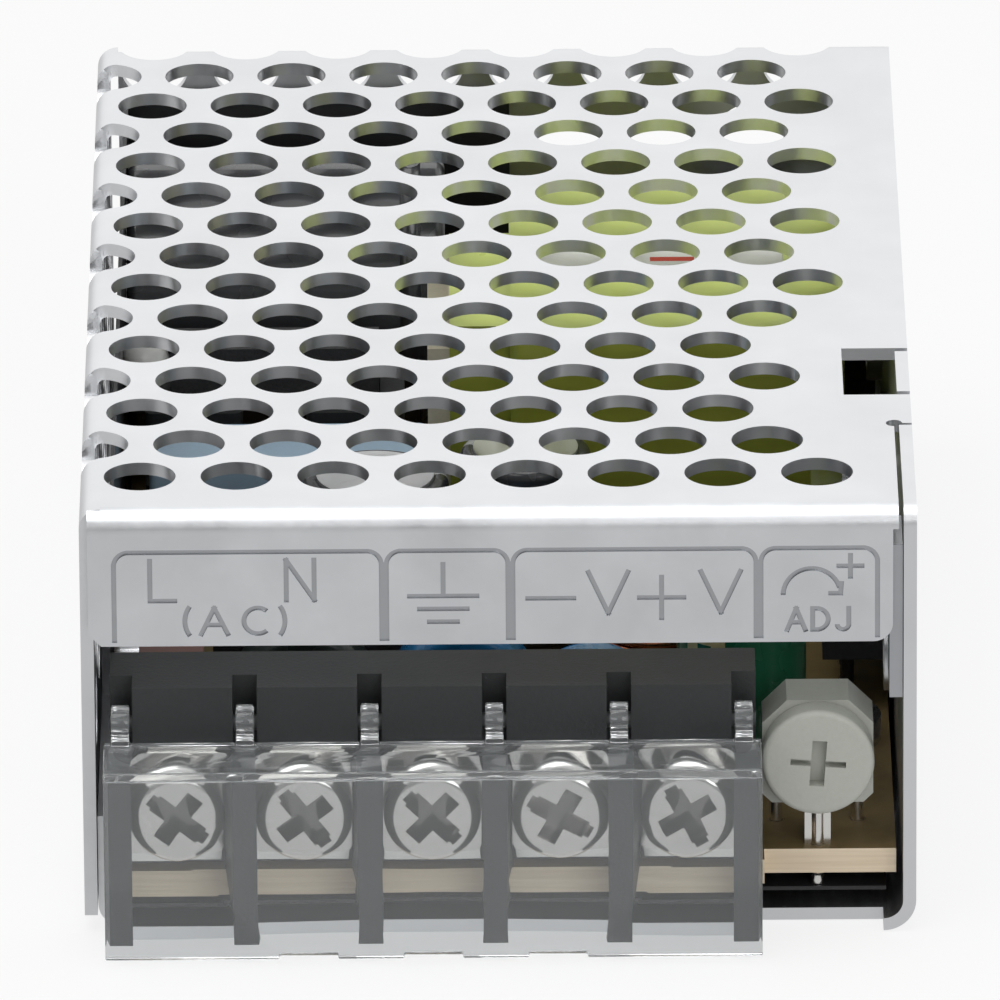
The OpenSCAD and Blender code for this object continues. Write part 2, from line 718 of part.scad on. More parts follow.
module trim_pot_rotor() color([0.82, 0.84, 0.79]) {
    rim = 0.35;
    depth = pot_body_y[0] - 0.1 - pot_face_y;
    difference() {
        translate([pot_x, pot_face_y, pot_z]) rotate([-90, 0, 0]) union() {
            rotate_extrude() {
                square([rotor_r - rim, depth]);
                translate([0, rim]) square([rotor_r, depth - rim]);
                translate([rotor_r - rim, rim]) circle(r = rim);
            }
            cylinder(r = rotor_shaft_r, h = depth + 1.6);
        }
        translate([pot_x, pot_face_y, pot_z]) rotate([0, 4, 0]) {
            translate([-0.45, -eps, -1.5]) cube([0.9, 0.9, 3]);
            translate([-1.7, -eps, -0.2]) cube([3.4, 0.7, 0.4]);
        }
    }
}

module trim_pot_pins() color([0.7, 0.68, 0.6]) {
    pins(pot_pins, pot_z - pot_w / 2 + 0.05);
    // flat front leg up to the wiper
    box([pot_x - 0.8, pot_body_y[0] + 0.25, board_top],
        [pot_x + 0.8, pot_body_y[0] + 0.75, pot_z - pot_w / 2]);
}

// ---- mains side ----

module fuse() color([0.42, 0.2, 0.14]) {
    translate([fuse_c.x, fuse_c.y, board_top]) linear_extrude(fuse_size.z)
        round_square(fuse_size.x, fuse_size.y, 0.8);
    pins(fuse_pins, board_top + 0.5);
}

// Disc that stands on two leads, with its axis along Y
module disc_part(c, r, t, lift, lead_points) {
    translate([c.x, c.y - t / 2, board_top + lift + r]) rotate([-90, 0, 0]) rotate_extrude() {
        square([r - 0.8, t]);
        translate([0, 0.8]) square([r, t - 1.6]);
        for (z = [0.8, t - 0.8]) translate([r - 0.8, z]) circle(r = 0.8);
    }
    pins(lead_points, board_top + lift + r * 0.7, 0.35);
}

module thermistor() color([0.12, 0.15, 0.13]) {
    disc_part(thermistor_c, 4.4, 3.6, 1, thermistor_pins);
}

module y_capacitors() color([0.12, 0.42, 0.66]) {
    disc_part(y_cap_c[0], 4.4, 3.8, 0.8, [y_cap_pins[0], y_cap_pins[1]]);
    disc_part(y_cap_c[1], 4.4, 3.8, 0.8, [y_cap_pins[2], y_cap_pins[3]]);
}

module x_capacitor() color([0.66, 0.78, 0.87]) {
    translate([x_cap_c.x, x_cap_c.y, board_top + 0.1]) linear_extrude(x_cap_size.z)
        round_square(x_cap_size.x, x_cap_size.y, 0.5);
    pins(x_cap_pins, board_top + 0.6);
}

module bridge_rectifier() color([0.1, 0.1, 0.11]) {
    w = bridge_size.x / 2;
    translate([bridge_c.x, 0, board_top + 1])
        along_y(bridge_c.y - bridge_size.y / 2, bridge_c.y + bridge_size.y / 2)
        polygon([[-w, 0], [w, 0], [w, bridge_size.z - 2], [w - 2, bridge_size.z], [-w, bridge_size.z]]);
    pins(bridge_pins, board_top + 1.5);
}

// Electrolytic can with a rolled rim and a groove near its base, axis along +Z
module can(r, h) {
    rotate_extrude() difference() {
        union() {
            square([r - 0.6, h - 0.25]);
            translate([0, 0.6]) square([r, h - 1.2]);
            for (z = [0.6, h - 0.6]) translate([r - 0.6, z]) circle(r = 0.6);
        }
        translate([r + 0.45, 2.2]) circle(r = 0.8);
    }
}

module standing_can(c, r, h, points) {
    translate([c.x, c.y, board_top]) can(r, h);
    pins(points, board_top + 0.5);
}

module main_capacitor() color([0.13, 0.13, 0.14]) {
    z = board_top + 0.6 + main_cap_r;
    translate([main_cap_c.x + main_cap_l / 2, main_cap_c.y, z])
        rotate([0, -90, 0]) can(main_cap_r, main_cap_l);
    // bent leads
    for (p = main_cap_pins) {
        translate([0, p.y, z]) disc_x(main_cap_c.x + main_cap_l / 2 - 1, p.x + pin_r, pin_r);
        translate([p.x, p.y, pin_bottom_z]) cylinder(r = pin_r, h = z - pin_bottom_z);
    }
}

// ---- line choke: a rectangular ferrite ring with two windings on a divided bobbin ----
choke_z = [board_top + 2.4, 19.2];
choke_leg = 3;
choke_w = 13.2;
choke_d = 3.6;

module choke_ring(grow = 0) {
    translate([choke_c.x, 0, (choke_z[0] + choke_z[1]) / 2])
        along_y(choke_c.y - choke_d / 2 - grow, choke_c.y + choke_d / 2 + grow) difference() {
            square([choke_w + 2 * grow, choke_z[1] - choke_z[0] + 2 * grow], center = true);
            square([choke_w - 2 * (choke_leg + grow), choke_z[1] - choke_z[0] - 2 * (choke_leg + grow)],
                center = true);
        }
}

module line_choke_core() color([0.22, 0.22, 0.23]) choke_ring();

module line_choke_bobbin() color([0.08, 0.08, 0.09]) {
    z0 = choke_z[0] + choke_leg;
    z1 = choke_z[1] - choke_leg;
    difference() {
        union() {
            box([choke_c.x - 7.6, choke_c.y - 5.4, board_top],
                [choke_c.x + 7.6, choke_c.y + 5.4, choke_z[0] - 0.1]);
            for (sx = [-1, 1]) for (z = [z0 + 0.1, z1 - 0.9])
                translate([choke_c.x + sx * (choke_w / 2 - choke_leg / 2), choke_c.y, z])
                    linear_extrude(0.8) round_square(6.2, 9.8, 0.6);
        }
        choke_ring(0.05);
        translate([choke_c.x, choke_c.y, 12]) cube([0.4, 12, 20], center = true);
    }
    pins(choke_pins, board_top + 1);
}

module line_choke_windings() color([0.62, 0.3, 0.16]) {
    z0 = choke_z[0] + choke_leg + 1;
    z1 = choke_z[1] - choke_leg - 1;
    difference() {
        for (sx = [-1, 1])
            translate([choke_c.x + sx * (choke_w / 2 - choke_leg / 2), choke_c.y, z0])
                linear_extrude(z1 - z0) round_square(5.6, 9, 1.6);
        choke_ring(0.05);
        translate([choke_c.x, choke_c.y, 12]) cube([0.6, 12, 20], center = true);
    }
}

// ---- transformer: winding axis along X, core halves from both ends ----
trafo_w = 21;
trafo_d = 24.6;
trafo_top = 24;
core_w = 20;
core_d = 23.4;
core_bar = 3.6;
core_leg = 3.2;
core_z = [9.6, 21.6];
core_zc = (core_z[0] + core_z[1]) / 2;
core_h = core_z[1] - core_z[0];
rail_top = board_top + 2.6;
end_x = -2.9;
end_y = [1.6, 17.2];
end_top = 23.6;
tape_t = 0.35;

module transformer_core() color([0.2, 0.2, 0.21]) {
    // closed ring made of two E halves, with a middle leg through the bobbin
    translate([trafo_c.x, trafo_c.y, core_z[0]]) linear_extrude(core_h) {
        difference() {
            square([core_w, core_d], center = true);
            square([core_w - 2 * core_bar, core_d - 2 * core_leg], center = true);
        }
        square([core_w - 2, 6], center = true);
    }
}

module transformer_bobbin() color([0.8, 0.77, 0.66]) {
    x_flange = core_w / 2 - core_bar - 0.5;
    difference() {
        union() {
            for (x = trafo_rail_x)
                box([x - 1.3, trafo_rail_y - 8.6, board_top], [x + 1.3, trafo_rail_y + 8.6, rail_top + 1.6]);
            // webs from the rails to the flanges at the ends of the winding
            box([trafo_rail_x[0], trafo_rail_y - 8, rail_top],
                [trafo_c.x - x_flange, trafo_rail_y + 8, core_z[0] - 0.6]);
            box([trafo_c.x + x_flange, trafo_rail_y - 8, rail_top],
                [trafo_rail_x[1], trafo_rail_y + 8, core_z[0] - 0.6]);
            for (sx = [-1, 1])
                translate([trafo_c.x + sx * x_flange, trafo_c.y, (rail_top + end_top - 0.4) / 2])
                    cube([0.8, 16.6, end_top - 0.4 - rail_top], center = true);
            translate([trafo_c.x, trafo_c.y, core_zc]) cube([2 * x_flange, 8, core_h + 2], center = true);
            // wiring chamber and its outer plate
            box([end_x - 0.1, end_y[0] + tape_t + 0.03, rail_top + 1], [trafo_c.x - trafo_w / 2 - 0.05,
                end_y[1] - tape_t - 0.03, end_top - tape_t - 0.03]);
            box([end_x - 1.4, end_y[0] + 0.2, rail_top], [end_x, end_y[1] + 0.2, 22]);
        }
        translate([trafo_c.x, trafo_c.y, core_zc]) cube([core_w + 1, 6.1, core_h + 0.1], center = true);
    }
    pins(trafo_pins, board_top + 1);
}

module transformer_winding() color([0.66, 0.36, 0.18]) {
    difference() {
        translate([trafo_c.x, trafo_c.y, core_zc]) along_x(-5.4, 5.4) round_square(16.4, core_h + 3, 2.4);
        translate([trafo_c.x, trafo_c.y, core_zc]) cube([core_w, 8.1, core_h + 2.1], center = true);
    }
}

// Tape wound round the core and its top, and round the wiring chamber at the left
module transformer_tape() color([0.8, 0.82, 0.3]) {
    z0 = core_z[0] + 0.2;
    x0 = trafo_c.x - trafo_w / 2;
    difference() {
        translate([trafo_c.x, trafo_c.y, z0])
            linear_extrude(trafo_top - z0) round_square(trafo_w, trafo_d, 0.9);
        translate([trafo_c.x, trafo_c.y, z0 - 1])
            linear_extrude(trafo_top - z0 + 1 - tape_t)
                round_square(trafo_w - 2 * tape_t, trafo_d - 2 * tape_t, 0.6);
    }
    difference() {
        box([end_x, end_y[0], z0], [x0 + eps, end_y[1], end_top]);
        box([end_x - 1, end_y[0] + tape_t, z0 - 1], [x0 - eps, end_y[1] - tape_t, end_top - tape_t]);
    }
}

// ---- low-voltage side ----

module output_capacitor_1() color([0.08, 0.36, 0.2]) standing_can(green_cap_c, 4, 12.4, green_cap_pins);

module output_capacitor_2() color([0.12, 0.12, 0.13]) standing_can(out_cap_c, 4.1, 14.6, out_cap_pins);

module start_capacitor() color([0.12, 0.12, 0.13]) standing_can(start_cap_c, 4.6, 13.4, start_cap_pins);

module supply_capacitor() color([0.12, 0.12, 0.13]) standing_can(supply_cap_c, 3.2, 15.6, supply_cap_pins);

module output_inductor_core() color([0.2, 0.2, 0.21]) {
    translate([inductor_c.x, inductor_c.y, board_top]) {
        cylinder(r = 4, h = 1.4);
        cylinder(r = 1.8, h = 9);
        translate([0, 0, 7.6]) cylinder(r = 4, h = 1.4);
    }
    pins(inductor_pins, board_top + 0.5);
}

module output_inductor_winding() color([0.7, 0.4, 0.2]) {
    translate([inductor_c.x, inductor_c.y, board_top + 1.45]) difference() {
        cylinder(r = 3.7, h = 6.1);
        translate([0, 0, -1]) cylinder(r = 1.85, h = 9);
    }
}

module optocoupler() color([0.88, 0.87, 0.84]) {
    box([opto_c.x - 3.2, opto_c.y - 2.3, board_top + 0.4], [opto_c.x + 3.2, opto_c.y + 2.3, board_top + 3.9]);
    for (p = opto_pins) side_lead(p, opto_c.x, board_top + 2.2);
}

module control_chip() color([0.12, 0.12, 0.13]) {
    box([chip_c.x - 3.2, chip_c.y - 4.7, board_top + 0.4], [chip_c.x + 3.2, chip_c.y + 4.7, board_top + 3.7]);
    for (p = chip_pins) side_lead(p, chip_c.x, board_top + 2.2);
}

// Bent lead of a dual in-line package
module side_lead(p, x_mid, z) {
    s = p.x > x_mid ? 1 : -1;
    translate([p.x, p.y, pin_bottom_z]) cylinder(r = 0.3, h = z - pin_bottom_z);
    box([min(p.x, p.x - s * 1), p.y - 0.3, z - 0.15], [max(p.x, p.x - s * 1), p.y + 0.3, z + 0.1]);
}

module resistors() color([0.55, 0.66, 0.72]) {
    for (i = [0:len(resistor_c) - 1]) {
        translate([resistor_c[i].x, resistor_c[i].y, board_top + 1.5]) {
            disc_x(-1.9, 1.9, 1.05);
            for (s = [-1, 1]) disc_x(s < 0 ? -3.1 : 1.8, s < 0 ? -1.8 : 3.1, 1.25);
            disc_x(-resistor_reach - resistor_lead_r, resistor_reach + resistor_lead_r, resistor_lead_r);
        }
        pins([resistor_pins[2 * i], resistor_pins[2 * i + 1]], board_top + 1.5, resistor_lead_r);
    }
}

// ---- devices clamped to the right wall ----
device_z = [8.2, 16.6];
device_t = 4.2;
pad_t = 0.3;

module clamped_device(y) {
    x1 = side_x - sheet_t - pad_t;
    box([x1 - device_t, y - 5, device_z[0]], [x1, y + 5, device_z[1]]);
    for (k = [-1:1]) {
        pins([[device_x, y + k * 2.54]], device_z[0] + 0.5);
    }
}

module power_transistor() color([0.12, 0.12, 0.13]) clamped_device(clip_y[1]);

module output_diode() color([0.12, 0.12, 0.13]) clamped_device(clip_y[0]);

module thermal_pads() color([0.7, 0.72, 0.74]) {
    for (y = clip_y)
        box([side_x - sheet_t - pad_t, y - 5.6, device_z[0] - 0.6],
            [side_x - sheet_t, y + 5.6, device_z[1] + 0.3]);
}

// Bent spring strip: screwed to the wall above the device and pressing on its face
module device_clips() color([0.8, 0.81, 0.82]) {
    wall = side_x - sheet_t;
    face = wall - pad_t - device_t;
    for (y = clip_y) difference() {
        translate([0, y, 0]) along_y(-3.2, 3.2) {
            translate([wall - 0.6, device_z[1] + 0.4]) square([0.6, 5]);
            translate([face - 0.6, device_z[1] + 0.4]) square([wall - face + 0.6, 0.6]);
            translate([face - 0.6, device_z[1] - 4.5]) square([0.6, 5]);
        }
        translate([0, y, clip_screw_z]) disc_x(wall - 2, wall + 1, m3_tap_r);
    }
}

module clip_screws() color([0.72, 0.73, 0.75]) {
    for (y = clip_y)
        translate([0, y, clip_screw_z]) difference() {
            union() {
                translate([side_x - sheet_t, 0, 0])
                    rotate([0, 90, 0]) cylinder(r1 = 1.7, r2 = 2.5, h = sheet_t);
                disc_x(side_x - 4, side_x - sheet_t + 0.1, m3_tap_r - 0.05);
            }
            for (a = [0, 90]) rotate([a, 0, 0]) box([side_x - 0.6, -1.2, -0.3], [side_x + eps, 1.2, 0.3]);
        }
}

chassis();
mesh_cover_top();
mesh_cover_front();
mesh_cover_left();
mesh_cover_rear();
cover_screws();
insulation_sheet();
circuit_board();
board_screws();
terminal_block();
terminal_plates();
terminal_screw(0);  // terminal_screw_1
terminal_screw(1);  // terminal_screw_2
terminal_screw(2);  // terminal_screw_3
terminal_screw(3);  // terminal_screw_4
terminal_screw(4);  // terminal_screw_5
clamp_washer(0);  // clamp_washer_1
clamp_washer(1);  // clamp_washer_2
clamp_washer(2);  // clamp_washer_3
clamp_washer(3);  // clamp_washer_4
clamp_washer(4);  // clamp_washer_5
terminal_cover();
trim_pot_body();
trim_pot_rotor();
trim_pot_pins();
fuse();
thermistor();
y_capacitors();
x_capacitor();
bridge_rectifier();
main_capacitor();
line_choke_core();
line_choke_bobbin();
line_choke_windings();
transformer_core();
transformer_bobbin();
transformer_winding();
transformer_tape();
output_capacitor_1();
output_capacitor_2();
start_capacitor();
supply_capacitor();
output_inductor_core();
output_inductor_winding();
optocoupler();
control_chip();
resistors();
power_transistor();
output_diode();
thermal_pads();
device_clips();
clip_screws();
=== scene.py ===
# %% [markdown]
# # A small enclosed power supply
# The real object is a folded zinc-plated case with a perforated cover. Inside it stand a transformer, a choke,
# capacitors and other parts on a tan board. At the front a black terminal block stands behind a clear hinged lid.
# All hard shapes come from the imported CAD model. This script gives them their finishes, adds the small detail that
# a CAD model leaves out, and sets up a floor, lights and a camera.

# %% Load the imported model
import json
import math
import random

import bpy
from mathutils import Matrix, Vector


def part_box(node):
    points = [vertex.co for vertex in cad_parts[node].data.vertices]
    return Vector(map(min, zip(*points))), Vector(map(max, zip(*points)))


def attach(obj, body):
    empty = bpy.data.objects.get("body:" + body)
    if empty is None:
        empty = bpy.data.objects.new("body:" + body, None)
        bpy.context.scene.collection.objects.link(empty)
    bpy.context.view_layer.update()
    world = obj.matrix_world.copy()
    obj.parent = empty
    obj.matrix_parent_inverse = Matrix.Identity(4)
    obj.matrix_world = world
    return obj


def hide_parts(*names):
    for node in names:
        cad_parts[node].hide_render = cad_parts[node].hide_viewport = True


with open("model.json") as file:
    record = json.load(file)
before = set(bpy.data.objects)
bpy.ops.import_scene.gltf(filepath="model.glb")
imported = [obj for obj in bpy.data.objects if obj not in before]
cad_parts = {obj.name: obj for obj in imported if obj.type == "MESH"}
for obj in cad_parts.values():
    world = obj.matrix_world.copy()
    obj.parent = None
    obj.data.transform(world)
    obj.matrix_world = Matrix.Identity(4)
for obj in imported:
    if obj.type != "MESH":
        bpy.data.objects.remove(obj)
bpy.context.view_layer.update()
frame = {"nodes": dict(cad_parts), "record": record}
cad = frame["nodes"]
MM = 0.001

# %% [markdown]
# ## Camera
# The object was seen from straight in front and about 23 degrees above, from far away with a long lens, so its
# vertical edges hardly converge. A camera is placed by the three directions it has: right, up and back.

# %% Camera
CAMERA_PLACE = Vector((-1.1487, -1117.82, 482.00)) * MM
CAMERA_RIGHT = Vector((0.99997238, -0.00386925, -0.00634551))
CAMERA_UP = Vector((0.00734882, 0.38727353, 0.92193558))
CAMERA_LENS = 693.24

lens = bpy.data.cameras.new("studio_camera")
lens.lens = CAMERA_LENS
lens.sensor_width = 36
lens.clip_start = 0.05
lens.clip_end = 50
camera = bpy.data.objects.new("studio_camera", lens)
bpy.context.scene.collection.objects.link(camera)
back = CAMERA_RIGHT.cross(CAMERA_UP).normalized()
turned = Matrix((CAMERA_RIGHT, CAMERA_UP, back)).transposed().to_4x4()
camera.matrix_world = Matrix.Translation(CAMERA_PLACE) @ turned
bpy.context.scene.camera = camera
print("camera looks along", tuple(round(-c, 3) for c in back))

# %% [markdown]
# ## Working by hand in code
# Blender's operators act on whatever is selected, so every step first deselects all. Faces are then picked by
# where they are or which way they face, which is what a modeller does with the mouse.

# %% Helpers for selecting, placing and joining
def deselect():
    if bpy.context.object and bpy.context.object.mode != "OBJECT":
        bpy.ops.object.mode_set(mode="OBJECT")
    bpy.ops.object.select_all(action="DESELECT")


def only(piece):
    deselect()
    piece.select_set(True)
    bpy.context.view_layer.objects.active = piece


def pick_faces(piece, wanted):
    """Opens a piece in edit mode with just the faces selected for which wanted(centre, normal) is true."""
    only(piece)
    bpy.ops.object.mode_set(mode="EDIT")
    bpy.ops.mesh.select_mode(type="FACE")
    bpy.ops.mesh.select_all(action="DESELECT")
    bpy.ops.object.mode_set(mode="OBJECT")
    for face in piece.data.polygons:
        face.select = wanted(face.center, face.normal)
    bpy.ops.object.mode_set(mode="EDIT")


def done_editing():
    bpy.ops.object.mode_set(mode="OBJECT")


def settle(piece, name):
    """Puts a piece's place into its mesh, so that its object is at the origin, and names it."""
    only(piece)
    bpy.ops.object.transform_apply(location=True, rotation=True, scale=True)
    piece.name = name
    piece.data.name = name
    return piece


def copy_at(piece, change):
    """A copy with a mesh of its own, moved by a matrix."""
    twin = piece.copy()
    twin.data = piece.data.copy()
    bpy.context.scene.collection.objects.link(twin)
    twin.data.transform(change)
    return twin


def join(pieces, name):
    deselect()
    for piece in pieces:
        piece.select_set(True)
    bpy.context.view_layer.objects.active = pieces[0]
    if len(pieces) > 1:
        bpy.ops.object.join()
    return settle(pieces[0], name)


def modify(piece, kind, **values):
    only(piece)
    modifier = piece.modifiers.new(kind.lower(), kind)
    for key, value in values.items():
        setattr(modifier, key, value)
    bpy.ops.object.modifier_apply(modifier=modifier.name)


def smooth(piece, degrees=35):
    only(piece)
    bpy.ops.object.shade_smooth_by_angle(angle=math.radians(degrees))


def middle(node):
    low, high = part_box(node)
    return (low + high) / 2


# %% [markdown]
# ## Surface effects shared by many finishes
# Real surfaces are never one flat colour. Three effects are used again and again: a slow drift of tone, a fine
# grain that catches the light, and the faint lines that rolling leaves in sheet metal. Each is built once as a
# node group that reads Object coordinates, so a pattern has its true size and stays on its piece.

# %% Node helpers
def add(tree, kind, **values):
    node = tree.nodes.new(kind)
    for key, value in values.items():
        if key.startswith("in_"):
            node.inputs[int(key[3:])].default_value = value
        else:
            setattr(node, key, value)
    return node


def wire(tree, source, target):
    tree.links.new(source, target)


def start_group(name, inputs, outputs):
    tree = bpy.data.node_groups.new(name, "ShaderNodeTree")
    for label, kind, value in inputs:
        socket = tree.interface.new_socket(name=label, in_out="INPUT", socket_type=kind)
        socket.default_value = value
    for label, kind in outputs:
        tree.interface.new_socket(name=label, in_out="OUTPUT", socket_type=kind)
    return tree, tree.nodes.new("NodeGroupInput"), tree.nodes.new("NodeGroupOutput")


FLOAT, COLOR, VECTOR = "NodeSocketFloat", "NodeSocketColor", "NodeSocketVector"


def math_node(tree, operation, a, b=None, clamp=False):
    node = add(tree, "ShaderNodeMath", operation=operation, use_clamp=clamp)
    for socket, value in zip(node.inputs, (a, b)):
        if isinstance(value, (int, float)):
            socket.default_value = value
        elif value is not None:
            wire(tree, value, socket)
    return node.outputs[0]


def blend_colors(tree, share, first, second):
    node = add(tree, "ShaderNodeMix", data_type="RGBA")
    for socket, value in zip((node.inputs[0], node.inputs[6], node.inputs[7]), (share, first, second)):
        if isinstance(value, (int, float, tuple)):
            socket.default_value = value
        else:
            wire(tree, value, socket)
    return node.outputs[2]


def object_place(tree):
    return add(tree, "ShaderNodeTexCoord").outputs["Object"]


# %% Tone drift and grain
def make_tone_group():
    tree, start, end = start_group("tone_and_grain",
        [("Color", COLOR, (0.5, 0.5, 0.5, 1)), ("Drift", FLOAT, 0.1), ("Drift size", FLOAT, 8.0),
         ("Grain", FLOAT, 0.1), ("Grain size", FLOAT, 0.3), ("Roughness", FLOAT, 0.5)],
        [("Color", COLOR), ("Roughness", FLOAT), ("Normal", VECTOR)])
    place = object_place(tree)
    slow = add(tree, "ShaderNodeTexNoise", in_3=3.0, in_4=0.55)
    wire(tree, place, slow.inputs["Vector"])
    wire(tree, math_node(tree, "DIVIDE", 1000.0, start.outputs["Drift size"]), slow.inputs["Scale"])
    fine = add(tree, "ShaderNodeTexNoise", in_3=2.0, in_4=0.6)
    wire(tree, place, fine.inputs["Vector"])
    wire(tree, math_node(tree, "DIVIDE", 1000.0, start.outputs["Grain size"]), fine.inputs["Scale"])
    centred = math_node(tree, "SUBTRACT", slow.outputs["Fac"], 0.5)
    swing = math_node(tree, "MULTIPLY", centred, start.outputs["Drift"])
    speck = math_node(tree, "MULTIPLY", math_node(tree, "SUBTRACT", fine.outputs["Fac"], 0.5),
                      math_node(tree, "MULTIPLY", start.outputs["Grain"], 0.6))
    gain = math_node(tree, "ADD", 1.0, math_node(tree, "MULTIPLY", math_node(tree, "ADD", swing, speck), 2.0))
    tinted = add(tree, "ShaderNodeVectorMath", operation="SCALE")
    wire(tree, start.outputs["Color"], tinted.inputs[0])
    wire(tree, gain, tinted.inputs["Scale"])
    wire(tree, tinted.outputs[0], end.inputs["Color"])
    rough = math_node(tree, "ADD", start.outputs["Roughness"], math_node(tree, "MULTIPLY", centred, 0.18), True)
    wire(tree, rough, end.inputs["Roughness"])
    bump = add(tree, "ShaderNodeBump")
    bump.inputs["Distance"].default_value = 0.00008
    wire(tree, start.outputs["Grain"], bump.inputs["Strength"])
    wire(tree, fine.outputs["Fac"], bump.inputs["Height"])
    wire(tree, bump.outputs[0], end.inputs["Normal"])
    return tree


tone_group = make_tone_group()
print("group", tone_group.name, "inputs", [s.name for s in tone_group.interface.items_tree if s.in_out == "INPUT"])

# %% [markdown]
# ## Rolled, zinc-plated sheet
# The case is thin steel with a bright zinc skin. It mirrors the room softly, shows faint lines in the rolling
# direction, cloudy patches where the plating is thicker, and the odd handling mark. A metal's look is nearly all
# reflection, so most of the detail goes into its roughness and a very shallow bump.

# %% Zinc sheet
def make_sheet_group():
    tree, start, end = start_group("rolled_sheet",
        [("Color", COLOR, (0.8, 0.8, 0.82, 1)), ("Cloud", FLOAT, 0.08), ("Lines", FLOAT, 0.1),
         ("Roughness", FLOAT, 0.35)],
        [("Color", COLOR), ("Roughness", FLOAT), ("Normal", VECTOR)])
    place = object_place(tree)
    cloud = add(tree, "ShaderNodeTexNoise", in_2=120.0, in_3=4.0, in_4=0.6, in_8=0.4)
    wire(tree, place, cloud.inputs["Vector"])
    stretch = add(tree, "ShaderNodeMapping")
    stretch.inputs["Scale"].default_value = (1600.0, 60.0, 1600.0)
    wire(tree, place, stretch.inputs["Vector"])
    lines = add(tree, "ShaderNodeTexNoise", in_2=1.0, in_3=3.0, in_4=0.6)
    wire(tree, stretch.outputs[0], lines.inputs["Vector"])
    spots = add(tree, "ShaderNodeTexVoronoi", in_2=260.0)
    wire(tree, place, spots.inputs["Vector"])
    patch = math_node(tree, "SUBTRACT", cloud.outputs["Fac"], 0.5)
    crystal = math_node(tree, "MULTIPLY", math_node(tree, "SUBTRACT", spots.outputs["Distance"], 0.4), 0.25)
    swing = math_node(tree, "MULTIPLY", math_node(tree, "ADD", patch, crystal), start.outputs["Cloud"])
    gain = math_node(tree, "ADD", 1.0, math_node(tree, "MULTIPLY", swing, 2.0))
    tinted = add(tree, "ShaderNodeVectorMath", operation="SCALE")
    wire(tree, start.outputs["Color"], tinted.inputs[0])
    wire(tree, gain, tinted.inputs["Scale"])
    wire(tree, tinted.outputs[0], end.inputs["Color"])
    streak = math_node(tree, "MULTIPLY", math_node(tree, "SUBTRACT", lines.outputs["Fac"], 0.5),
                       start.outputs["Lines"])
    rough = math_node(tree, "ADD", start.outputs["Roughness"],
                      math_node(tree, "ADD", math_node(tree, "MULTIPLY", patch, 0.25), streak), True)
    wire(tree, rough, end.inputs["Roughness"])
    bump = add(tree, "ShaderNodeBump")
    bump.inputs["Distance"].default_value = 0.00003
    wire(tree, start.outputs["Lines"], bump.inputs["Strength"])
    wire(tree, lines.outputs["Fac"], bump.inputs["Height"])
    wire(tree, bump.outputs[0], end.inputs["Normal"])
    return tree


sheet_group = make_sheet_group()
print("group", sheet_group.name)


def new_material(name):
    made = bpy.data.materials.new(name)
    made.use_nodes = True
    tree = made.node_tree
    tree.nodes.clear()
    shader = add(tree, "ShaderNodeBsdfPrincipled")
    out = add(tree, "ShaderNodeOutputMaterial")
    wire(tree, shader.outputs[0], out.inputs["Surface"])
    return made, tree, shader


def sheet_finish(name, color, cloud, lines, roughness):
    made, tree, shader = new_material(name)
    effect = add(tree, "ShaderNodeGroup", node_tree=sheet_group)
    for label, value in (("Color", (*color, 1)), ("Cloud", cloud), ("Lines", lines), ("Roughness", roughness)):
        effect.inputs[label].default_value = value
    wire(tree, effect.outputs["Color"], shader.inputs["Base Color"])
    wire(tree, effect.outputs["Roughness"], shader.inputs["Roughness"])
    wire(tree, effect.outputs["Normal"], shader.inputs["Normal"])
    shader.inputs["Metallic"].default_value = 1.0
    return made


zinc_sheet = sheet_finish("zinc_sheet", (0.78, 0.79, 0.805), 0.07, 0.16, 0.36)
fastener_steel = sheet_finish("fastener_steel", (0.66, 0.67, 0.69), 0.12, 0.10, 0.26)
tinned_metal = sheet_finish("tinned_metal", (0.80, 0.79, 0.76), 0.10, 0.08, 0.22)
nickel_screw = sheet_finish("nickel_screw", (0.70, 0.68, 0.65), 0.10, 0.05, 0.15)
silver_can = sheet_finish("can_aluminium", (0.80, 0.80, 0.80), 0.06, 0.20, 0.34)

# %% [markdown]
# ## Painted shade in stamped marks and screw recesses
# A press leaves its marks as shallow grooves, and a screwdriver's cross is a deep pocket. Shade falls in both, and
# here it is painted into the colour, so they look darker than the metal round them. The depth below the outer
# surface gives the mask: a plane for the flange, and a shallow dome for the screw heads, whose height is read from
# the CAD mesh.

# %% Painted shade masks
# Mixes a painted shade colour into a finish's base colour where the mask is set.
def paint_shade(made, mask, color):
    tree = made.node_tree
    base = tree.nodes["Principled BSDF"].inputs["Base Color"]
    clean = base.links[0].from_socket
    wire(tree, blend_colors(tree, mask, clean, (*color, 1)), base)


def split_place(made):
    tree = made.node_tree
    split = add(tree, "ShaderNodeSeparateXYZ")
    wire(tree, object_place(tree), split.inputs[0])
    return tree, split.outputs


MARK_TOP, MARK_DEPTH, FOLD_Z = 0.02 * MM, 0.45 * MM, 26.5 * MM
marked_sheet = sheet_finish("zinc_sheet_marked", (0.76, 0.775, 0.795), 0.16, 0.20, 0.38)
tree, at = split_place(marked_sheet)
flange_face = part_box("mesh_cover_front")[0].y
sunk = math_node(tree, "MULTIPLY", math_node(tree, "GREATER_THAN", at["Y"], flange_face + MARK_TOP),
                 math_node(tree, "LESS_THAN", at["Y"], flange_face + MARK_DEPTH))
below_fold = math_node(tree, "LESS_THAN", at["Z"], FOLD_Z)
# Painted shade: the stamped grooves below the fold are darkened towards grey.
painted_shade_in_marks = math_node(tree, "MULTIPLY", math_node(tree, "MULTIPLY", sunk, below_fold), 0.62)
paint_shade(marked_sheet, painted_shade_in_marks, (0.30, 0.31, 0.33))

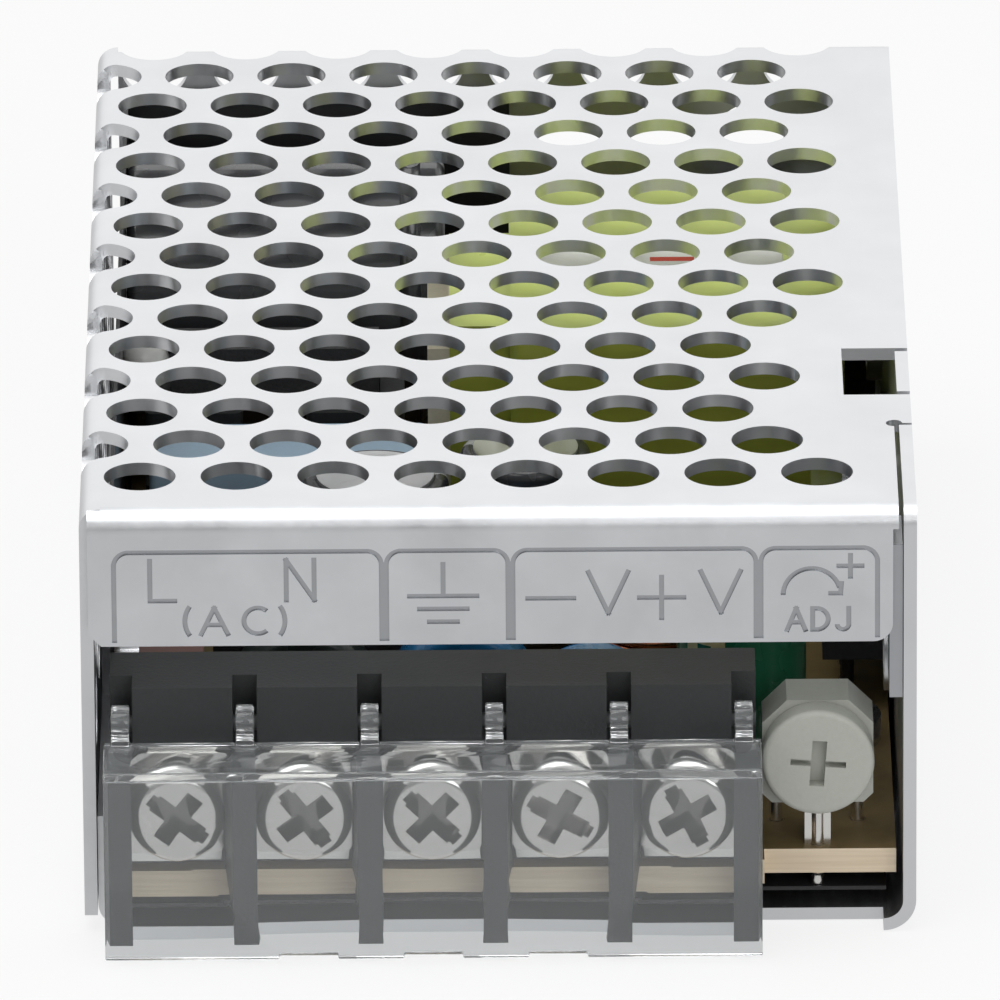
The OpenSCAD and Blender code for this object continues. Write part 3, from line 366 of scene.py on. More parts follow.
SCREW_PITCH, HEAD_RADIUS, POCKET_TOP = 7.62 * MM, 2.9 * MM, 0.12 * MM
head_low, head_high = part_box("terminal_screw_1")
head_centre = (head_low + head_high) / 2
off_axis = [(math.hypot(v.co.x - head_centre.x, v.co.z - head_centre.z), v.co.y)
            for v in cad["terminal_screw_1"].data.vertices]
rim_y = min(y for r, y in off_axis if r > HEAD_RADIUS * 0.97)
dome_rise = rim_y - head_low.y
tree, at = split_place(nickel_screw)
across = math_node(tree, "WRAP", math_node(tree, "SUBTRACT", at["X"], head_centre.x), SCREW_PITCH / 2)
across.node.inputs[2].default_value = -SCREW_PITCH / 2
up = math_node(tree, "SUBTRACT", at["Z"], head_centre.z)
squared = math_node(tree, "ADD", math_node(tree, "MULTIPLY", across, across), math_node(tree, "MULTIPLY", up, up))
dome = math_node(tree, "ADD", math_node(tree, "MULTIPLY", squared, dome_rise / HEAD_RADIUS ** 2),
                 head_low.y + POCKET_TOP)
inside = math_node(tree, "LESS_THAN", squared, (HEAD_RADIUS * 0.9) ** 2)
pocket = math_node(tree, "MULTIPLY", math_node(tree, "GREATER_THAN", at["Y"], dome), inside)
# Painted shade: the cross recess inside each screw head is darkened nearly to black.
paint_shade(nickel_screw, math_node(tree, "MULTIPLY", pocket, 0.85), (0.09, 0.085, 0.08))
print("screw head rises", round(dome_rise / MM, 2), "mm over its rim")

# %% [markdown]
# ## Plastics, coatings and sleeves
# Moulded plastic, dipped coatings and shrunk sleeves differ in how much they shine and how fine their grain is,
# so one recipe makes them all, with each finish's own colour, drift, grain and roughness.

# %% Plain-coloured finishes
def plain_finish(name, color, drift=0.1, drift_size=9.0, grain=0.12, grain_size=0.35, roughness=0.5, coat=0.0):
    made, tree, shader = new_material(name)
    effect = add(tree, "ShaderNodeGroup", node_tree=tone_group)
    values = {"Color": (*color, 1), "Drift": drift, "Drift size": drift_size, "Grain": grain,
              "Grain size": grain_size, "Roughness": roughness}
    for label, value in values.items():
        effect.inputs[label].default_value = value
    wire(tree, effect.outputs["Color"], shader.inputs["Base Color"])
    wire(tree, effect.outputs["Roughness"], shader.inputs["Roughness"])
    wire(tree, effect.outputs["Normal"], shader.inputs["Normal"])
    if coat:
        shader.inputs["Coat Weight"].default_value = coat
        shader.inputs["Coat Roughness"].default_value = 0.12
    return made


black_plastic = plain_finish("black_plastic", (0.030, 0.032, 0.033), 0.15, 6, 0.25, 0.25, 0.46)
black_epoxy = plain_finish("black_epoxy", (0.022, 0.022, 0.024), 0.15, 5, 0.35, 0.2, 0.6)
insulating_film = plain_finish("insulating_film", (0.018, 0.018, 0.02), 0.1, 12, 0.06, 0.8, 0.34)
white_plastic = plain_finish("white_plastic", (0.43, 0.44, 0.395), 0.06, 4, 0.10, 0.3, 0.36)
brown_plastic = plain_finish("brown_plastic", (0.20, 0.065, 0.04), 0.15, 4, 0.12, 0.3, 0.35)
dark_coating = plain_finish("dark_coating", (0.03, 0.042, 0.036), 0.2, 3, 0.3, 0.7, 0.3, 0.5)
blue_coating = plain_finish("blue_coating", (0.02, 0.19, 0.42), 0.12, 3, 0.25, 0.8, 0.28, 0.6)
light_blue_plastic = plain_finish("light_blue_plastic", (0.46, 0.64, 0.80), 0.06, 6, 0.10, 0.3, 0.34)
cream_plastic = plain_finish("cream_plastic", (0.62, 0.57, 0.43), 0.12, 5, 0.15, 0.3, 0.5)
ferrite = plain_finish("ferrite", (0.05, 0.05, 0.052), 0.25, 3, 0.6, 0.18, 0.58)
resistor_coating = plain_finish("resistor_coating", (0.25, 0.42, 0.52), 0.1, 3, 0.2, 0.6, 0.3, 0.4)
silicone_pad = plain_finish("silicone_pad", (0.48, 0.50, 0.52), 0.1, 3, 0.3, 0.2, 0.75)
silicone_white = plain_finish("silicone_white", (0.78, 0.78, 0.75), 0.06, 3, 0.15, 0.5, 0.32)
print("finishes", len(bpy.data.materials))

# %% [markdown]
# ## Circuit board laminate
# The board is brown paper laminate. Its cut edge is pale and shows the layers as fine lines, and its faces are
# darker. Which way a point faces tells edge from face, so the material mixes the two by its normal.

# %% Board laminate
def make_laminate():
    made, tree, shader = new_material("board_laminate")
    coords = add(tree, "ShaderNodeTexCoord")
    split = add(tree, "ShaderNodeSeparateXYZ")
    wire(tree, coords.outputs["Normal"], split.inputs[0])
    on_face = math_node(tree, "GREATER_THAN", math_node(tree, "ABSOLUTE", split.outputs["Z"]), 0.5)
    layers = add(tree, "ShaderNodeMapping")
    layers.inputs["Scale"].default_value = (90.0, 90.0, 3600.0)
    wire(tree, coords.outputs["Object"], layers.inputs["Vector"])
    lines = add(tree, "ShaderNodeTexNoise", in_2=1.0, in_3=3.0, in_4=0.65)
    wire(tree, layers.outputs[0], lines.inputs["Vector"])
    edge = blend_colors(tree, lines.outputs["Fac"], (0.58, 0.45, 0.30, 1), (0.92, 0.80, 0.62, 1))
    fibres = add(tree, "ShaderNodeTexNoise", in_2=700.0, in_3=4.0, in_4=0.6)
    wire(tree, coords.outputs["Object"], fibres.inputs["Vector"])
    face = blend_colors(tree, fibres.outputs["Fac"], (0.13, 0.09, 0.035, 1), (0.30, 0.21, 0.09, 1))
    wire(tree, blend_colors(tree, on_face, edge, face), shader.inputs["Base Color"])
    rough = math_node(tree, "ADD", 0.42, math_node(tree, "MULTIPLY", fibres.outputs["Fac"], 0.25))
    wire(tree, rough, shader.inputs["Roughness"])
    bump = add(tree, "ShaderNodeBump")
    bump.inputs["Distance"].default_value = 0.00004
    bump.inputs["Strength"].default_value = 0.4
    wire(tree, lines.outputs["Fac"], bump.inputs["Height"])
    wire(tree, bump.outputs[0], shader.inputs["Normal"])
    return made


board_laminate = make_laminate()
print("finish", board_laminate.name, "with", len(board_laminate.node_tree.nodes), "nodes")

# %% [markdown]
# ## Sleeves with a stripe
# A film sleeve is shrunk round each electrolytic can. It is glossy, and a pale stripe with dark bars down one side
# marks the minus lead. The stripe is an angle round the can's own axis, so a Mapping node first moves that axis
# to the middle.

# %% Sleeve material for one can
BAR_STEP, BAR_HALF = 0.0021, 0.0007


def make_sleeve(name, color, stripe_color, axis_point, lying, stripe_turn, stripe_width=0.36):
    made, tree, shader = new_material(name)
    move = add(tree, "ShaderNodeMapping")
    move.inputs["Location"].default_value = -Vector(axis_point)
    wire(tree, object_place(tree), move.inputs["Vector"])
    split = add(tree, "ShaderNodeSeparateXYZ")
    wire(tree, move.outputs[0], split.inputs[0])
    across, up, along = (("Y", "Z", "X") if lying else ("X", "Y", "Z"))
    angle = math_node(tree, "ARCTAN2", split.outputs[up], split.outputs[across])
    off = math_node(tree, "ABSOLUTE", math_node(tree, "WRAP", math_node(tree, "SUBTRACT", angle, stripe_turn),
                                                math.pi))
    off.node.inputs[2].default_value = -math.pi
    wrapped = off.node.inputs[0].links[0].from_node
    wrapped.inputs[2].default_value = -math.pi
    in_stripe = math_node(tree, "LESS_THAN", off, stripe_width)
    bars = math_node(tree, "PINGPONG", split.outputs[along], BAR_STEP)
    in_bar = math_node(tree, "MULTIPLY", math_node(tree, "LESS_THAN", bars, BAR_HALF),
                       math_node(tree, "LESS_THAN", off, stripe_width * 0.35))
    effect = add(tree, "ShaderNodeGroup", node_tree=tone_group)
    for label, value in (("Color", (*color, 1)), ("Drift", 0.12), ("Drift size", 5.0), ("Grain", 0.06),
                         ("Grain size", 0.6), ("Roughness", 0.27)):
        effect.inputs[label].default_value = value
    striped = blend_colors(tree, in_stripe, effect.outputs["Color"], (*stripe_color, 1))
    wire(tree, blend_colors(tree, in_bar, striped, (*color, 1)), shader.inputs["Base Color"])
    wire(tree, effect.outputs["Roughness"], shader.inputs["Roughness"])
    wire(tree, effect.outputs["Normal"], shader.inputs["Normal"])
    shader.inputs["Coat Weight"].default_value = 0.3
    shader.inputs["Coat Roughness"].default_value = 0.1
    return made


BLACK, PALE_GREY, GREEN, GOLD = (0.035, 0.037, 0.04), (0.55, 0.56, 0.56), (0.015, 0.14, 0.07), (0.62, 0.56, 0.3)
sleeves = {
    "main_capacitor": make_sleeve("black_sleeve_main", BLACK, PALE_GREY, middle("main_capacitor"), True, 1.2, 0.25),
    "output_capacitor_1": make_sleeve("green_sleeve", GREEN, GOLD, middle("output_capacitor_1"), False, -2.2),
    "output_capacitor_2": make_sleeve("black_sleeve_out", BLACK, PALE_GREY, middle("output_capacitor_2"), False, 2.6),
    "start_capacitor": make_sleeve("black_sleeve_start", BLACK, PALE_GREY, middle("start_capacitor"), False, 0.4),
    "supply_capacitor": make_sleeve("black_sleeve_supply", BLACK, PALE_GREY, middle("supply_capacitor"), False, -0.6),
}
print("sleeves", sorted(sleeves))

# %% [markdown]
# ## Yellow tape
# Polyester tape is thin and a little see-through. Its sides are painted dark olive as the shade on them, and its top
# is painted pale yellow-green as the light that falls through the cover. True see-through layers would be slow and
# noisy, so these lit and shaded copies of one yellow are mixed by the normal instead, and a shallow wave gives the
# overlapping turns.

# %% Tape
def make_tape():
    made, tree, shader = new_material("yellow_tape")
    coords = add(tree, "ShaderNodeTexCoord")
    split = add(tree, "ShaderNodeSeparateXYZ")
    wire(tree, coords.outputs["Normal"], split.inputs[0])
    lit_top_share = math_node(tree, "GREATER_THAN", split.outputs["Z"], 0.5)
    cloud = add(tree, "ShaderNodeTexNoise", in_2=160.0, in_3=3.0, in_4=0.5)
    wire(tree, coords.outputs["Object"], cloud.inputs["Vector"])
    # Painted shade on the sides (olive) and painted light on the top (pale yellow-green), chosen by the normal.
    side = blend_colors(tree, cloud.outputs["Fac"], (0.26, 0.29, 0.035, 1), (0.44, 0.48, 0.07, 1))
    top = blend_colors(tree, cloud.outputs["Fac"], (0.62, 0.74, 0.16, 1), (0.78, 0.86, 0.28, 1))
    wire(tree, blend_colors(tree, lit_top_share, side, top), shader.inputs["Base Color"])
    wrap = add(tree, "ShaderNodeTexWave", wave_type="BANDS", bands_direction="Z", in_1=260.0, in_2=1.5)
    wire(tree, coords.outputs["Object"], wrap.inputs["Vector"])
    bump = add(tree, "ShaderNodeBump")
    bump.inputs["Distance"].default_value = 0.00005
    bump.inputs["Strength"].default_value = 0.25
    wire(tree, wrap.outputs["Fac"], bump.inputs["Height"])
    wire(tree, bump.outputs[0], shader.inputs["Normal"])
    wire(tree, math_node(tree, "ADD", 0.22, math_node(tree, "MULTIPLY", cloud.outputs["Fac"], 0.2)),
         shader.inputs["Roughness"])
    return made


yellow_tape = make_tape()
print("finish", yellow_tape.name, "with", len(yellow_tape.node_tree.nodes), "nodes")


# %% [markdown]
# ## Enamelled copper
# Winding wire is copper under a thin clear lacquer, which turns it reddish brown and adds a second, sharper
# shine. A coat over a metal does just that, and a little noise keeps the turns from looking alike.

# %% Enamelled copper
def make_copper():
    made, tree, shader = new_material("enamelled_copper")
    cloud = add(tree, "ShaderNodeTexNoise", in_2=500.0, in_3=2.0, in_4=0.5)
    wire(tree, object_place(tree), cloud.inputs["Vector"])
    wire(tree, blend_colors(tree, cloud.outputs["Fac"], (0.30, 0.07, 0.025, 1), (0.62, 0.22, 0.08, 1)),
         shader.inputs["Base Color"])
    wire(tree, math_node(tree, "ADD", 0.16, math_node(tree, "MULTIPLY", cloud.outputs["Fac"], 0.2)),
         shader.inputs["Roughness"])
    shader.inputs["Metallic"].default_value = 0.85
    shader.inputs["Coat Weight"].default_value = 0.6
    shader.inputs["Coat Roughness"].default_value = 0.1
    return made


enamelled_copper = make_copper()
print("finish", enamelled_copper.name, "with", len(enamelled_copper.node_tree.nodes), "nodes")


# %% [markdown]
# ## Clear plastic
# The lid is moulded from clear plastic that has a trace of milkiness. A Principled shader bends and reflects the
# light, and a few hundredths less than full transmission give the milkiness. Lamp light would stop at it, so for
# shadow rays alone the material lets the light pass.

# %% Clear plastic
def make_clear():
    made, tree, shader = new_material("clear_plastic")
    shader.inputs["Base Color"].default_value = (0.93, 0.95, 0.96, 1)
    shader.inputs["Transmission Weight"].default_value = 0.955
    shader.inputs["IOR"].default_value = 1.5
    haze = add(tree, "ShaderNodeTexNoise", in_2=220.0, in_3=2.0, in_4=0.5)
    wire(tree, object_place(tree), haze.inputs["Vector"])
    wire(tree, math_node(tree, "MULTIPLY", haze.outputs["Fac"], 0.07), shader.inputs["Roughness"])
    open_to_lamps = add(tree, "ShaderNodeBsdfTransparent")
    open_to_lamps.inputs[0].default_value = (0.88, 0.9, 0.91, 1)
    path = add(tree, "ShaderNodeLightPath")
    choice = add(tree, "ShaderNodeMixShader")
    wire(tree, path.outputs["Is Shadow Ray"], choice.inputs[0])
    wire(tree, shader.outputs[0], choice.inputs[1])
    wire(tree, open_to_lamps.outputs[0], choice.inputs[2])
    wire(tree, choice.outputs[0], tree.nodes["Material Output"].inputs["Surface"])
    return made


clear_plastic = make_clear()
print("finish", clear_plastic.name, "with", len(clear_plastic.node_tree.nodes), "nodes")

# %% [markdown]
# ## Finishes on the CAD pieces
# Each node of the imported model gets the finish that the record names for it. Where one finish is used by several
# pieces, they share the material. The front fold has its own, because of its stamped marks, and each can has its
# own sleeve, because the stripe is placed by the can's axis.

# %% Finishes on the CAD pieces
def finish_node(node, made):
    piece = cad[node]
    if piece.data.materials:
        for index in range(len(piece.data.materials)):
            piece.data.materials[index] = made
    else:
        piece.data.materials.append(made)


slot_finish = {
    "zinc_sheet": zinc_sheet, "fastener_steel": fastener_steel, "insulating_film": insulating_film,
    "board_laminate": board_laminate, "black_plastic": black_plastic, "tinned_metal": tinned_metal,
    "white_plastic": white_plastic, "brown_plastic": brown_plastic, "dark_coating": dark_coating,
    "blue_coating": blue_coating, "light_blue_plastic": light_blue_plastic, "black_epoxy": black_epoxy,
    "ferrite": ferrite, "enamelled_copper": enamelled_copper, "cream_plastic": cream_plastic,
    "yellow_tape": yellow_tape, "resistor_coating": resistor_coating, "silicone_pad": silicone_pad,
    "clear_plastic": clear_plastic, "nickel_screw": nickel_screw,
}
for part in frame["record"]["subparts"]:
    node = part["node"]
    special = marked_sheet if node == "mesh_cover_front" else sleeves.get(node)
    finish_node(node, special or slot_finish[part["material_slot"]])


def belongs(piece, made, body="case"):
    """Gives a new piece its finish and the body that it moves with."""
    piece.data.materials.clear()
    piece.data.materials.append(made)
    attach(piece, body)
    return piece


# %% [markdown]
# ## Ends of the electrolytic cans
# The sleeve leaves the end of each aluminium can bare. A cross is pressed into it, thinner than the rest, so that
# a failing can opens there. One disc is bevelled and cut with two crossing grooves, then copied at each can's size.

# %% Can ends
def can_end(radius, thickness=0.00022):
    bpy.ops.mesh.primitive_cylinder_add(vertices=48, radius=radius, depth=thickness)
    disc = bpy.context.object
    pick_faces(disc, lambda centre, normal: normal.z > 0.9)
    bpy.ops.mesh.inset(thickness=radius * 0.10)
    bpy.ops.transform.translate(value=(0, 0, -thickness * 0.45))
    done_editing()
    for turn in (0, math.pi / 2):
        bpy.ops.mesh.primitive_cube_add(size=1, location=(0, 0, thickness * 0.28),
                                        scale=(radius * 1.3, radius * 0.07, thickness * 0.5), rotation=(0, 0, turn))
        cutter = bpy.context.object
        modify(disc, "BOOLEAN", operation="DIFFERENCE", object=cutter, solver="EXACT")
        bpy.data.objects.remove(cutter)
    return disc


END_SHARE, END_LIFT = 0.80, 0.00002
for node, lying in (("output_capacitor_1", False), ("output_capacitor_2", False), ("start_capacitor", False),
                    ("supply_capacitor", False), ("main_capacitor", True)):
    low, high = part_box(node)
    centre = middle(node)
    radius = (high.y - low.y) / 2
    disc = can_end(radius * END_SHARE)
    if lying:
        tilt = Matrix.Rotation(-math.pi / 2, 4, "Y")
        top = Vector((low.x - END_LIFT, centre.y, high.z - radius))
    else:
        tilt = Matrix.Identity(4)
        top = Vector((centre.x, centre.y, high.z + END_LIFT))
    disc.data.transform(Matrix.Translation(top) @ tilt @ Matrix.Rotation(0.6, 4, "Z"))
    smooth(settle(disc, node + "_end"), 30)
    belongs(disc, silver_can)
    print(disc.name, len(disc.data.polygons), "faces")

# %% [markdown]
# ## Turns of enamelled wire
# Each coil in the CAD model is one plain block. The real coil is wire laid turn beside turn. One turn is a ring of
# round wire, stretched to its former, and copied a wire's thickness apart in two layers.

# %% Wire turns
def turn_ring(half_x, half_y, wire_radius, corner):
    """One turn of wire round a former with rounded corners, lying flat at the origin."""
    bpy.ops.mesh.primitive_torus_add(major_radius=corner, minor_radius=wire_radius, major_segments=32,
                                     minor_segments=8)
    ring = bpy.context.object
    for vertex in ring.data.vertices:
        vertex.co.x += math.copysign(max(0.0, half_x - corner), vertex.co.x)
        vertex.co.y += math.copysign(max(0.0, half_y - corner), vertex.co.y)
    return ring


LAYER_STEP, TURN_STEP = 1.75, 2.02


def coil(name, centre, half_x, half_y, z_low, z_high, wire_radius, corner, layers=1):
    turns = []
    for layer in range(layers):
        grow = layer * wire_radius * LAYER_STEP
        ring = turn_ring(half_x - wire_radius - grow, half_y - wire_radius - grow, wire_radius,
                         max(corner - grow, wire_radius * 2))
        pitch = wire_radius * TURN_STEP
        count = int((z_high - z_low) / pitch)
        for index in range(count):
            z = z_low + wire_radius + index * pitch
            turns.append(copy_at(ring, Matrix.Translation((centre.x, centre.y, z))))
        bpy.data.objects.remove(ring)
    piece = join(turns, name)
    smooth(piece, 60)
    return piece


low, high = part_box("line_choke_windings")
choke_centre = (low + high) / 2
LIMB_OFFSET, LIMB_CORNER = 5.1 * MM, 1.5 * MM
LIMB_HALF = Vector((2.8, 4.5, 0)) * MM
FINE_WIRE, THICK_WIRE = 0.21 * MM, 0.3 * MM
choke_turns = []
for side in (-1, 1):
    limb = Vector((choke_centre.x + side * LIMB_OFFSET, choke_centre.y, 0))
    choke_turns.append(coil("choke_turns_half", limb, LIMB_HALF.x, LIMB_HALF.y, low.z, high.z,
                            FINE_WIRE, LIMB_CORNER, 2))
choke_wire = belongs(join(choke_turns, "choke_wire_turns"), enamelled_copper)
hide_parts("line_choke_windings")

low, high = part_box("output_inductor_winding")
drum = (low + high) / 2
radius = (high.x - low.x) / 2
inductor_wire = coil("inductor_wire_turns", drum, radius, radius, low.z, high.z,
                     THICK_WIRE, radius - THICK_WIRE)
belongs(inductor_wire, enamelled_copper)
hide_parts("output_inductor_winding")
print("choke turns", len(choke_wire.data.polygons), "inductor turns", len(inductor_wire.data.polygons))

# %% [markdown]
# ## Clear lid with soft edges
# A moulded lid never has a razor edge: each one is rounded a little and shows as a bright line. The CAD lid is
# copied, its loose triangles are merged into flat faces, and every sharp edge is bevelled. Rebuilding the lid
# from new would risk missing its hinge, so the copy is used.

# %% Clear lid
lid = cad["terminal_cover"].copy()
lid.data = cad["terminal_cover"].data.copy()
lid.parent = None
bpy.context.scene.collection.objects.link(lid)
only(lid)
bpy.ops.object.mode_set(mode="EDIT")
bpy.ops.mesh.select_all(action="SELECT")
bpy.ops.mesh.remove_doubles(threshold=0.000002)
bpy.ops.mesh.dissolve_limited(angle_limit=math.radians(1))
bpy.ops.mesh.customdata_custom_splitnormals_clear()
done_editing()
LID_ROUND = 0.24 * MM
modify(lid, "BEVEL", width=LID_ROUND, segments=3, limit_method="ANGLE", angle_limit=math.radians(40),
       use_clamp_overlap=True)
for key in [k for k in lid.keys() if k.startswith("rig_")]:
    del lid[key]
settle(lid, "clear_lid")
smooth(lid, 30)
belongs(lid, clear_plastic, "terminal_lid")
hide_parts("terminal_cover")
print("clear lid", len(lid.data.polygons), "faces")

# %% [markdown]
# ## Solder under the board
# Every lead ends in a small cone of solder on the board's underside. The leads' tips are found in the CAD meshes
# themselves, so each joint sits on a real pin. One cone is subdivided and pulled in at its waist, as solder
# flows, and then copied. It has few faces, because there are many of them and they are hardly seen.

# %% Solder joints
TIP_Z = 2.2 * MM
SAME_TIP = 1.1 * MM
SOLDER_HEIGHT, SOLDER_DROP = 0.75 * MM, 0.36 * MM
SOLDER_FOOT, SOLDER_NECK = 1.05 * MM, 0.42 * MM
SOLDER_PULL = 0.35
board_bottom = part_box("circuit_board")[0].z


def lead_tips():
    tips = []
    for node, piece in cad.items():
        low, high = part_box(node)
        if abs(low.z - TIP_Z) > 0.05 * MM:
            continue
        for vertex in piece.data.vertices:
            if abs(vertex.co.z - TIP_Z) > 0.02 * MM:
                continue
            near = [t for t in tips if (t[0] - vertex.co).length < SAME_TIP]
            if near:
                near[0][1].append(vertex.co.copy())
            else:
                tips.append((vertex.co.copy(), [vertex.co.copy()]))
    return [sum(points, Vector()) / len(points) for _, points in tips]


def solder_cone():
    bpy.ops.mesh.primitive_cone_add(vertices=12, radius1=SOLDER_FOOT, radius2=SOLDER_NECK, depth=SOLDER_HEIGHT)
    cone = bpy.context.object
    pick_faces(cone, lambda centre, normal: abs(normal.z) < 0.9)
    bpy.ops.mesh.subdivide(number_cuts=2)
    done_editing()
    for vertex in cone.data.vertices:
        share = (vertex.co.z / SOLDER_HEIGHT) + 0.5
        pull = 1 - SOLDER_PULL * math.sin(math.pi * share)
        vertex.co.x *= pull
        vertex.co.y *= pull
    return cone


tips = lead_tips()
cone = solder_cone()
joints = []
for tip in tips:
    place = Matrix.Translation((tip.x, tip.y, board_bottom - SOLDER_DROP)) @ Matrix.Rotation(math.pi, 4, "X")
    joints.append(copy_at(cone, place))
bpy.data.objects.remove(cone)
solder = join(joints, "solder_joints")
smooth(solder, 50)
belongs(solder, tinned_metal)
print("solder joints", len(tips))

# %% [markdown]
# ## Paper label
# A plain paper label lies across the transformer, with a short coloured tally mark and no lettering. It is a thin
# bevelled slab, and the mark is a mask on Object coordinates, so it needs no picture.

# %% Paper label on the transformer
def make_label():
    made, tree, shader = new_material("paper_label")
    place = object_place(tree)
    split = add(tree, "ShaderNodeSeparateXYZ")
    wire(tree, place, split.inputs[0])
    fibres = add(tree, "ShaderNodeTexNoise", in_2=1500.0, in_3=3.0, in_4=0.6)
    wire(tree, place, fibres.inputs["Vector"])
    paper = blend_colors(tree, fibres.outputs["Fac"], (0.78, 0.78, 0.76, 1), (0.88, 0.88, 0.86, 1))
    centre = Vector((11.2, 11.4, 0)) * MM
    in_x = math_node(tree, "LESS_THAN", math_node(tree, "ABSOLUTE",
                     math_node(tree, "SUBTRACT", split.outputs["X"], centre.x)), 1.4 * MM)
    in_y = math_node(tree, "LESS_THAN", math_node(tree, "ABSOLUTE",
                     math_node(tree, "SUBTRACT", split.outputs["Y"], centre.y)), 0.35 * MM)
    mark = math_node(tree, "MULTIPLY", in_x, in_y)
    wire(tree, blend_colors(tree, mark, paper, (0.62, 0.06, 0.03, 1)), shader.inputs["Base Color"])
    wire(tree, math_node(tree, "ADD", 0.5, math_node(tree, "MULTIPLY", fibres.outputs["Fac"], 0.2)),
         shader.inputs["Roughness"])
    return made


tape_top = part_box("transformer_tape")[1].z
LABEL_HALF = Vector((7.8, 2.1, 0.05)) * MM
label_middle = Vector((10.4 * MM, 11.2 * MM, tape_top + LABEL_HALF.z))
bpy.ops.mesh.primitive_cube_add(size=2, location=label_middle, scale=LABEL_HALF)
label = bpy.context.object
pick_faces(label, lambda centre, normal: abs(normal.z) < 0.5)
bpy.ops.mesh.subdivide(number_cuts=4)
done_editing()
modify(label, "BEVEL", width=0.03 * MM, segments=1, limit_method="ANGLE")
settle(label, "transformer_label")
print("label top at", round((label_middle.z + LABEL_HALF.z) / MM, 2), "mm")
belongs(label, make_label())

# %% [markdown]
# ## Silicone bead
# A blob of white silicone was squeezed in to hold parts against the wall. Squeezed paste has no flat faces: a
# sphere is flattened, a few slow waves swell it unevenly, and a subdivision rounds the result.

# %% Silicone bead
BEAD_RADIUS, BEAD_MIDDLE = 1.5 * MM, Vector((-21.9, 9.6, 18.2)) * MM
bpy.ops.mesh.primitive_uv_sphere_add(segments=24, ring_count=14, radius=BEAD_RADIUS, location=(0, 0, 0))
bead = bpy.context.object
rng = random.Random(7)
waves = [(Vector((rng.uniform(-1, 1), rng.uniform(-1, 1), rng.uniform(-1, 1))) * 1400, rng.uniform(0, 6))
         for _ in range(5)]
for vertex in bead.data.vertices:
    swell = 1 + 0.10 * sum(math.sin(vertex.co.dot(w) + p) for w, p in waves)
    vertex.co = Vector((vertex.co.x * 0.85, vertex.co.y * 1.5, vertex.co.z * 0.8)) * swell
modify(bead, "SUBSURF", levels=1, render_levels=1)
bead.data.transform(Matrix.Translation(BEAD_MIDDLE))
smooth(settle(bead, "silicone_bead"), 80)
belongs(bead, silicone_white)
print("bead", len(bead.data.polygons), "faces")

# %% [markdown]
# ## Floor, backdrop and lights
# A pale floor takes the object's soft shadow. Seen by the camera, or mirrored in metal and plastic, the floor and
# the room are white. That is done with Light Path, so no extra light falls on the object. Mirrored in metal, the
# floor is a little dimmer and the room ahead is darker, because polished steel looks flat with only white round it.

# %% Floor
SEEN_WHITE, MIRRORED_WHITE, MIRRORED_DIM = 0.80, 0.90, 0.40


def make_floor_finish():
    made, tree, shader = new_material("studio_floor")
    shader.inputs["Base Color"].default_value = (0.86, 0.86, 0.86, 1)
    shader.inputs["Roughness"].default_value = 0.9
    shader.inputs["Specular IOR Level"].default_value = 0.0
    glow = add(tree, "ShaderNodeEmission")
    glow.inputs[0].default_value = (1, 1, 1, 1)
    path = add(tree, "ShaderNodeLightPath")
    seen = math_node(tree, "MULTIPLY", path.outputs["Is Camera Ray"], SEEN_WHITE)
    mirrored = math_node(tree, "MULTIPLY", math_node(tree, "MAXIMUM", path.outputs["Is Glossy Ray"],
                                                     path.outputs["Is Transmission Ray"]), MIRRORED_WHITE)
    share = math_node(tree, "MAXIMUM", seen, mirrored)
    dimmed = math_node(tree, "MULTIPLY", path.outputs["Is Glossy Ray"], MIRRORED_DIM)
    wire(tree, math_node(tree, "SUBTRACT", 1.0, dimmed), glow.inputs["Strength"])
    choice = add(tree, "ShaderNodeMixShader")
    wire(tree, share, choice.inputs[0])
    wire(tree, shader.outputs[0], choice.inputs[1])
    wire(tree, glow.outputs[0], choice.inputs[2])
    wire(tree, choice.outputs[0], tree.nodes["Material Output"].inputs["Surface"])
    return made


bpy.ops.mesh.primitive_plane_add(size=12, location=(0, 0, -0.0001))
floor = bpy.context.object
floor.name = "studio_floor"
floor.data.materials.append(make_floor_finish())
print("floor", floor.name)

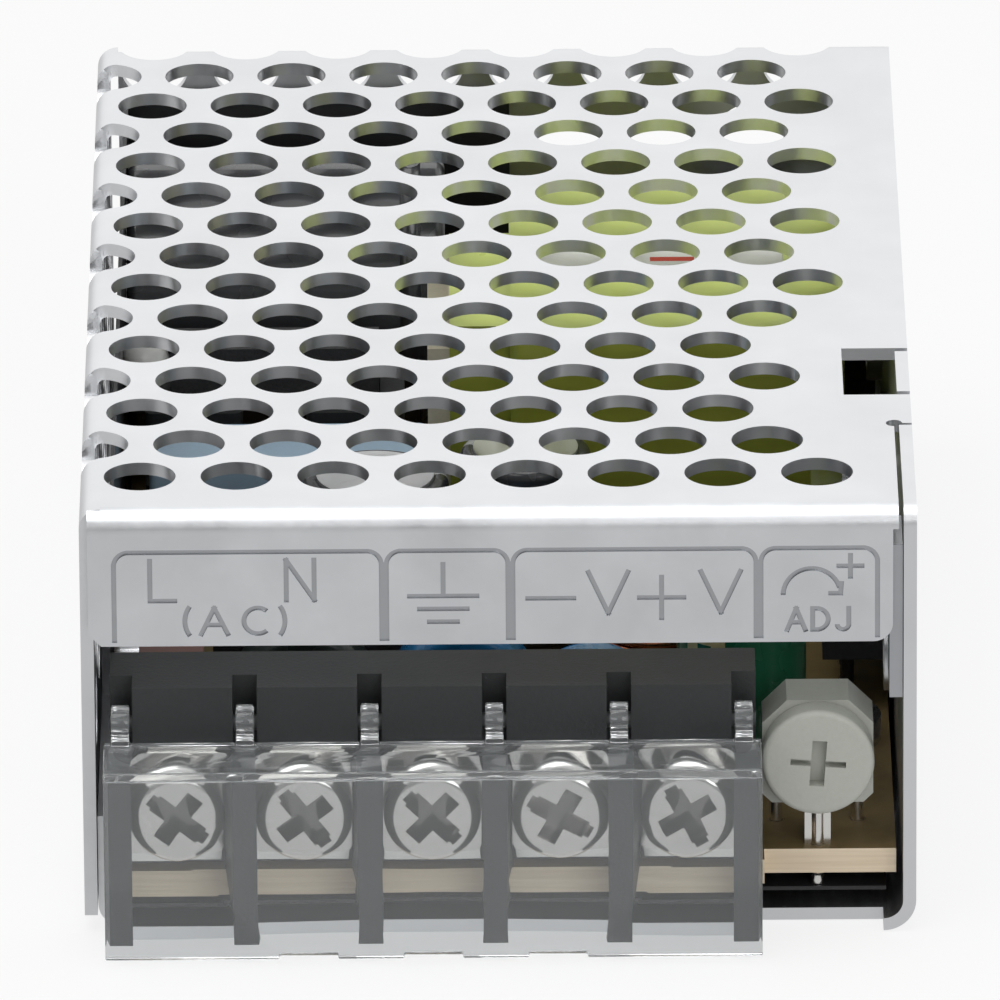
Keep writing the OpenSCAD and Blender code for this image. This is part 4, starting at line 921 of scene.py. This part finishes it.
# %% Room
DARK_AHEAD, DARK_BELOW, DARK_SHARE = 0.35, 0.80, 0.74
room = bpy.data.worlds.new("studio_room")
bpy.context.scene.world = room
room.use_nodes = True
tree = room.node_tree
tree.nodes.clear()
soft = add(tree, "ShaderNodeBackground", in_0=(1, 1, 1, 1), in_1=0.55)
white = add(tree, "ShaderNodeBackground", in_0=(1, 1, 1, 1), in_1=1.0)
place = add(tree, "ShaderNodeSeparateXYZ")
wire(tree, add(tree, "ShaderNodeTexCoord").outputs["Generated"], place.inputs[0])
frontward = math_node(tree, "MULTIPLY", place.outputs["Y"], -1.0)
ahead = math_node(tree, "MULTIPLY", math_node(tree, "SUBTRACT", frontward, DARK_AHEAD), 3.0, True)
low_down = math_node(tree, "MULTIPLY", math_node(tree, "SUBTRACT", DARK_BELOW, place.outputs["Z"]), 5.0, True)
path = add(tree, "ShaderNodeLightPath")
dark_side = math_node(tree, "MULTIPLY", math_node(tree, "MULTIPLY", ahead, low_down), path.outputs["Is Glossy Ray"])
wire(tree, math_node(tree, "SUBTRACT", 1.0, math_node(tree, "MULTIPLY", dark_side, DARK_SHARE)), white.inputs[1])
direct = math_node(tree, "MAXIMUM", path.outputs["Is Camera Ray"],
                   math_node(tree, "MAXIMUM", path.outputs["Is Glossy Ray"], path.outputs["Is Transmission Ray"]))
choice = add(tree, "ShaderNodeMixShader")
wire(tree, direct, choice.inputs[0])
wire(tree, soft.outputs[0], choice.inputs[1])
wire(tree, white.outputs[0], choice.inputs[2])
wire(tree, choice.outputs[0], add(tree, "ShaderNodeOutputWorld").inputs["Surface"])


# %% Lamps
def soft_box(name, place, aim, width, height, watts):
    lamp = bpy.data.lights.new(name, "AREA")
    lamp.shape = "RECTANGLE"
    lamp.size, lamp.size_y, lamp.energy = width, height, watts
    holder = bpy.data.objects.new(name, lamp)
    bpy.context.scene.collection.objects.link(holder)
    direction = Vector(aim) - Vector(place)
    holder.location = place
    holder.rotation_euler = direction.to_track_quat("-Z", "Y").to_euler()
    return holder


soft_box("overhead_box", (-0.15, -0.10, 0.75), (0, 0, 0.02), 0.6, 0.6, 2.6)
soft_box("front_box", (0.35, -0.85, 0.45), (0, 0, 0.01), 0.5, 0.4, 1.7)
bpy.context.scene.view_settings.view_transform = "Standard"

# %% [markdown]
# ## Finish
# The script ends with nothing selected.

# %% Finish
deselect()
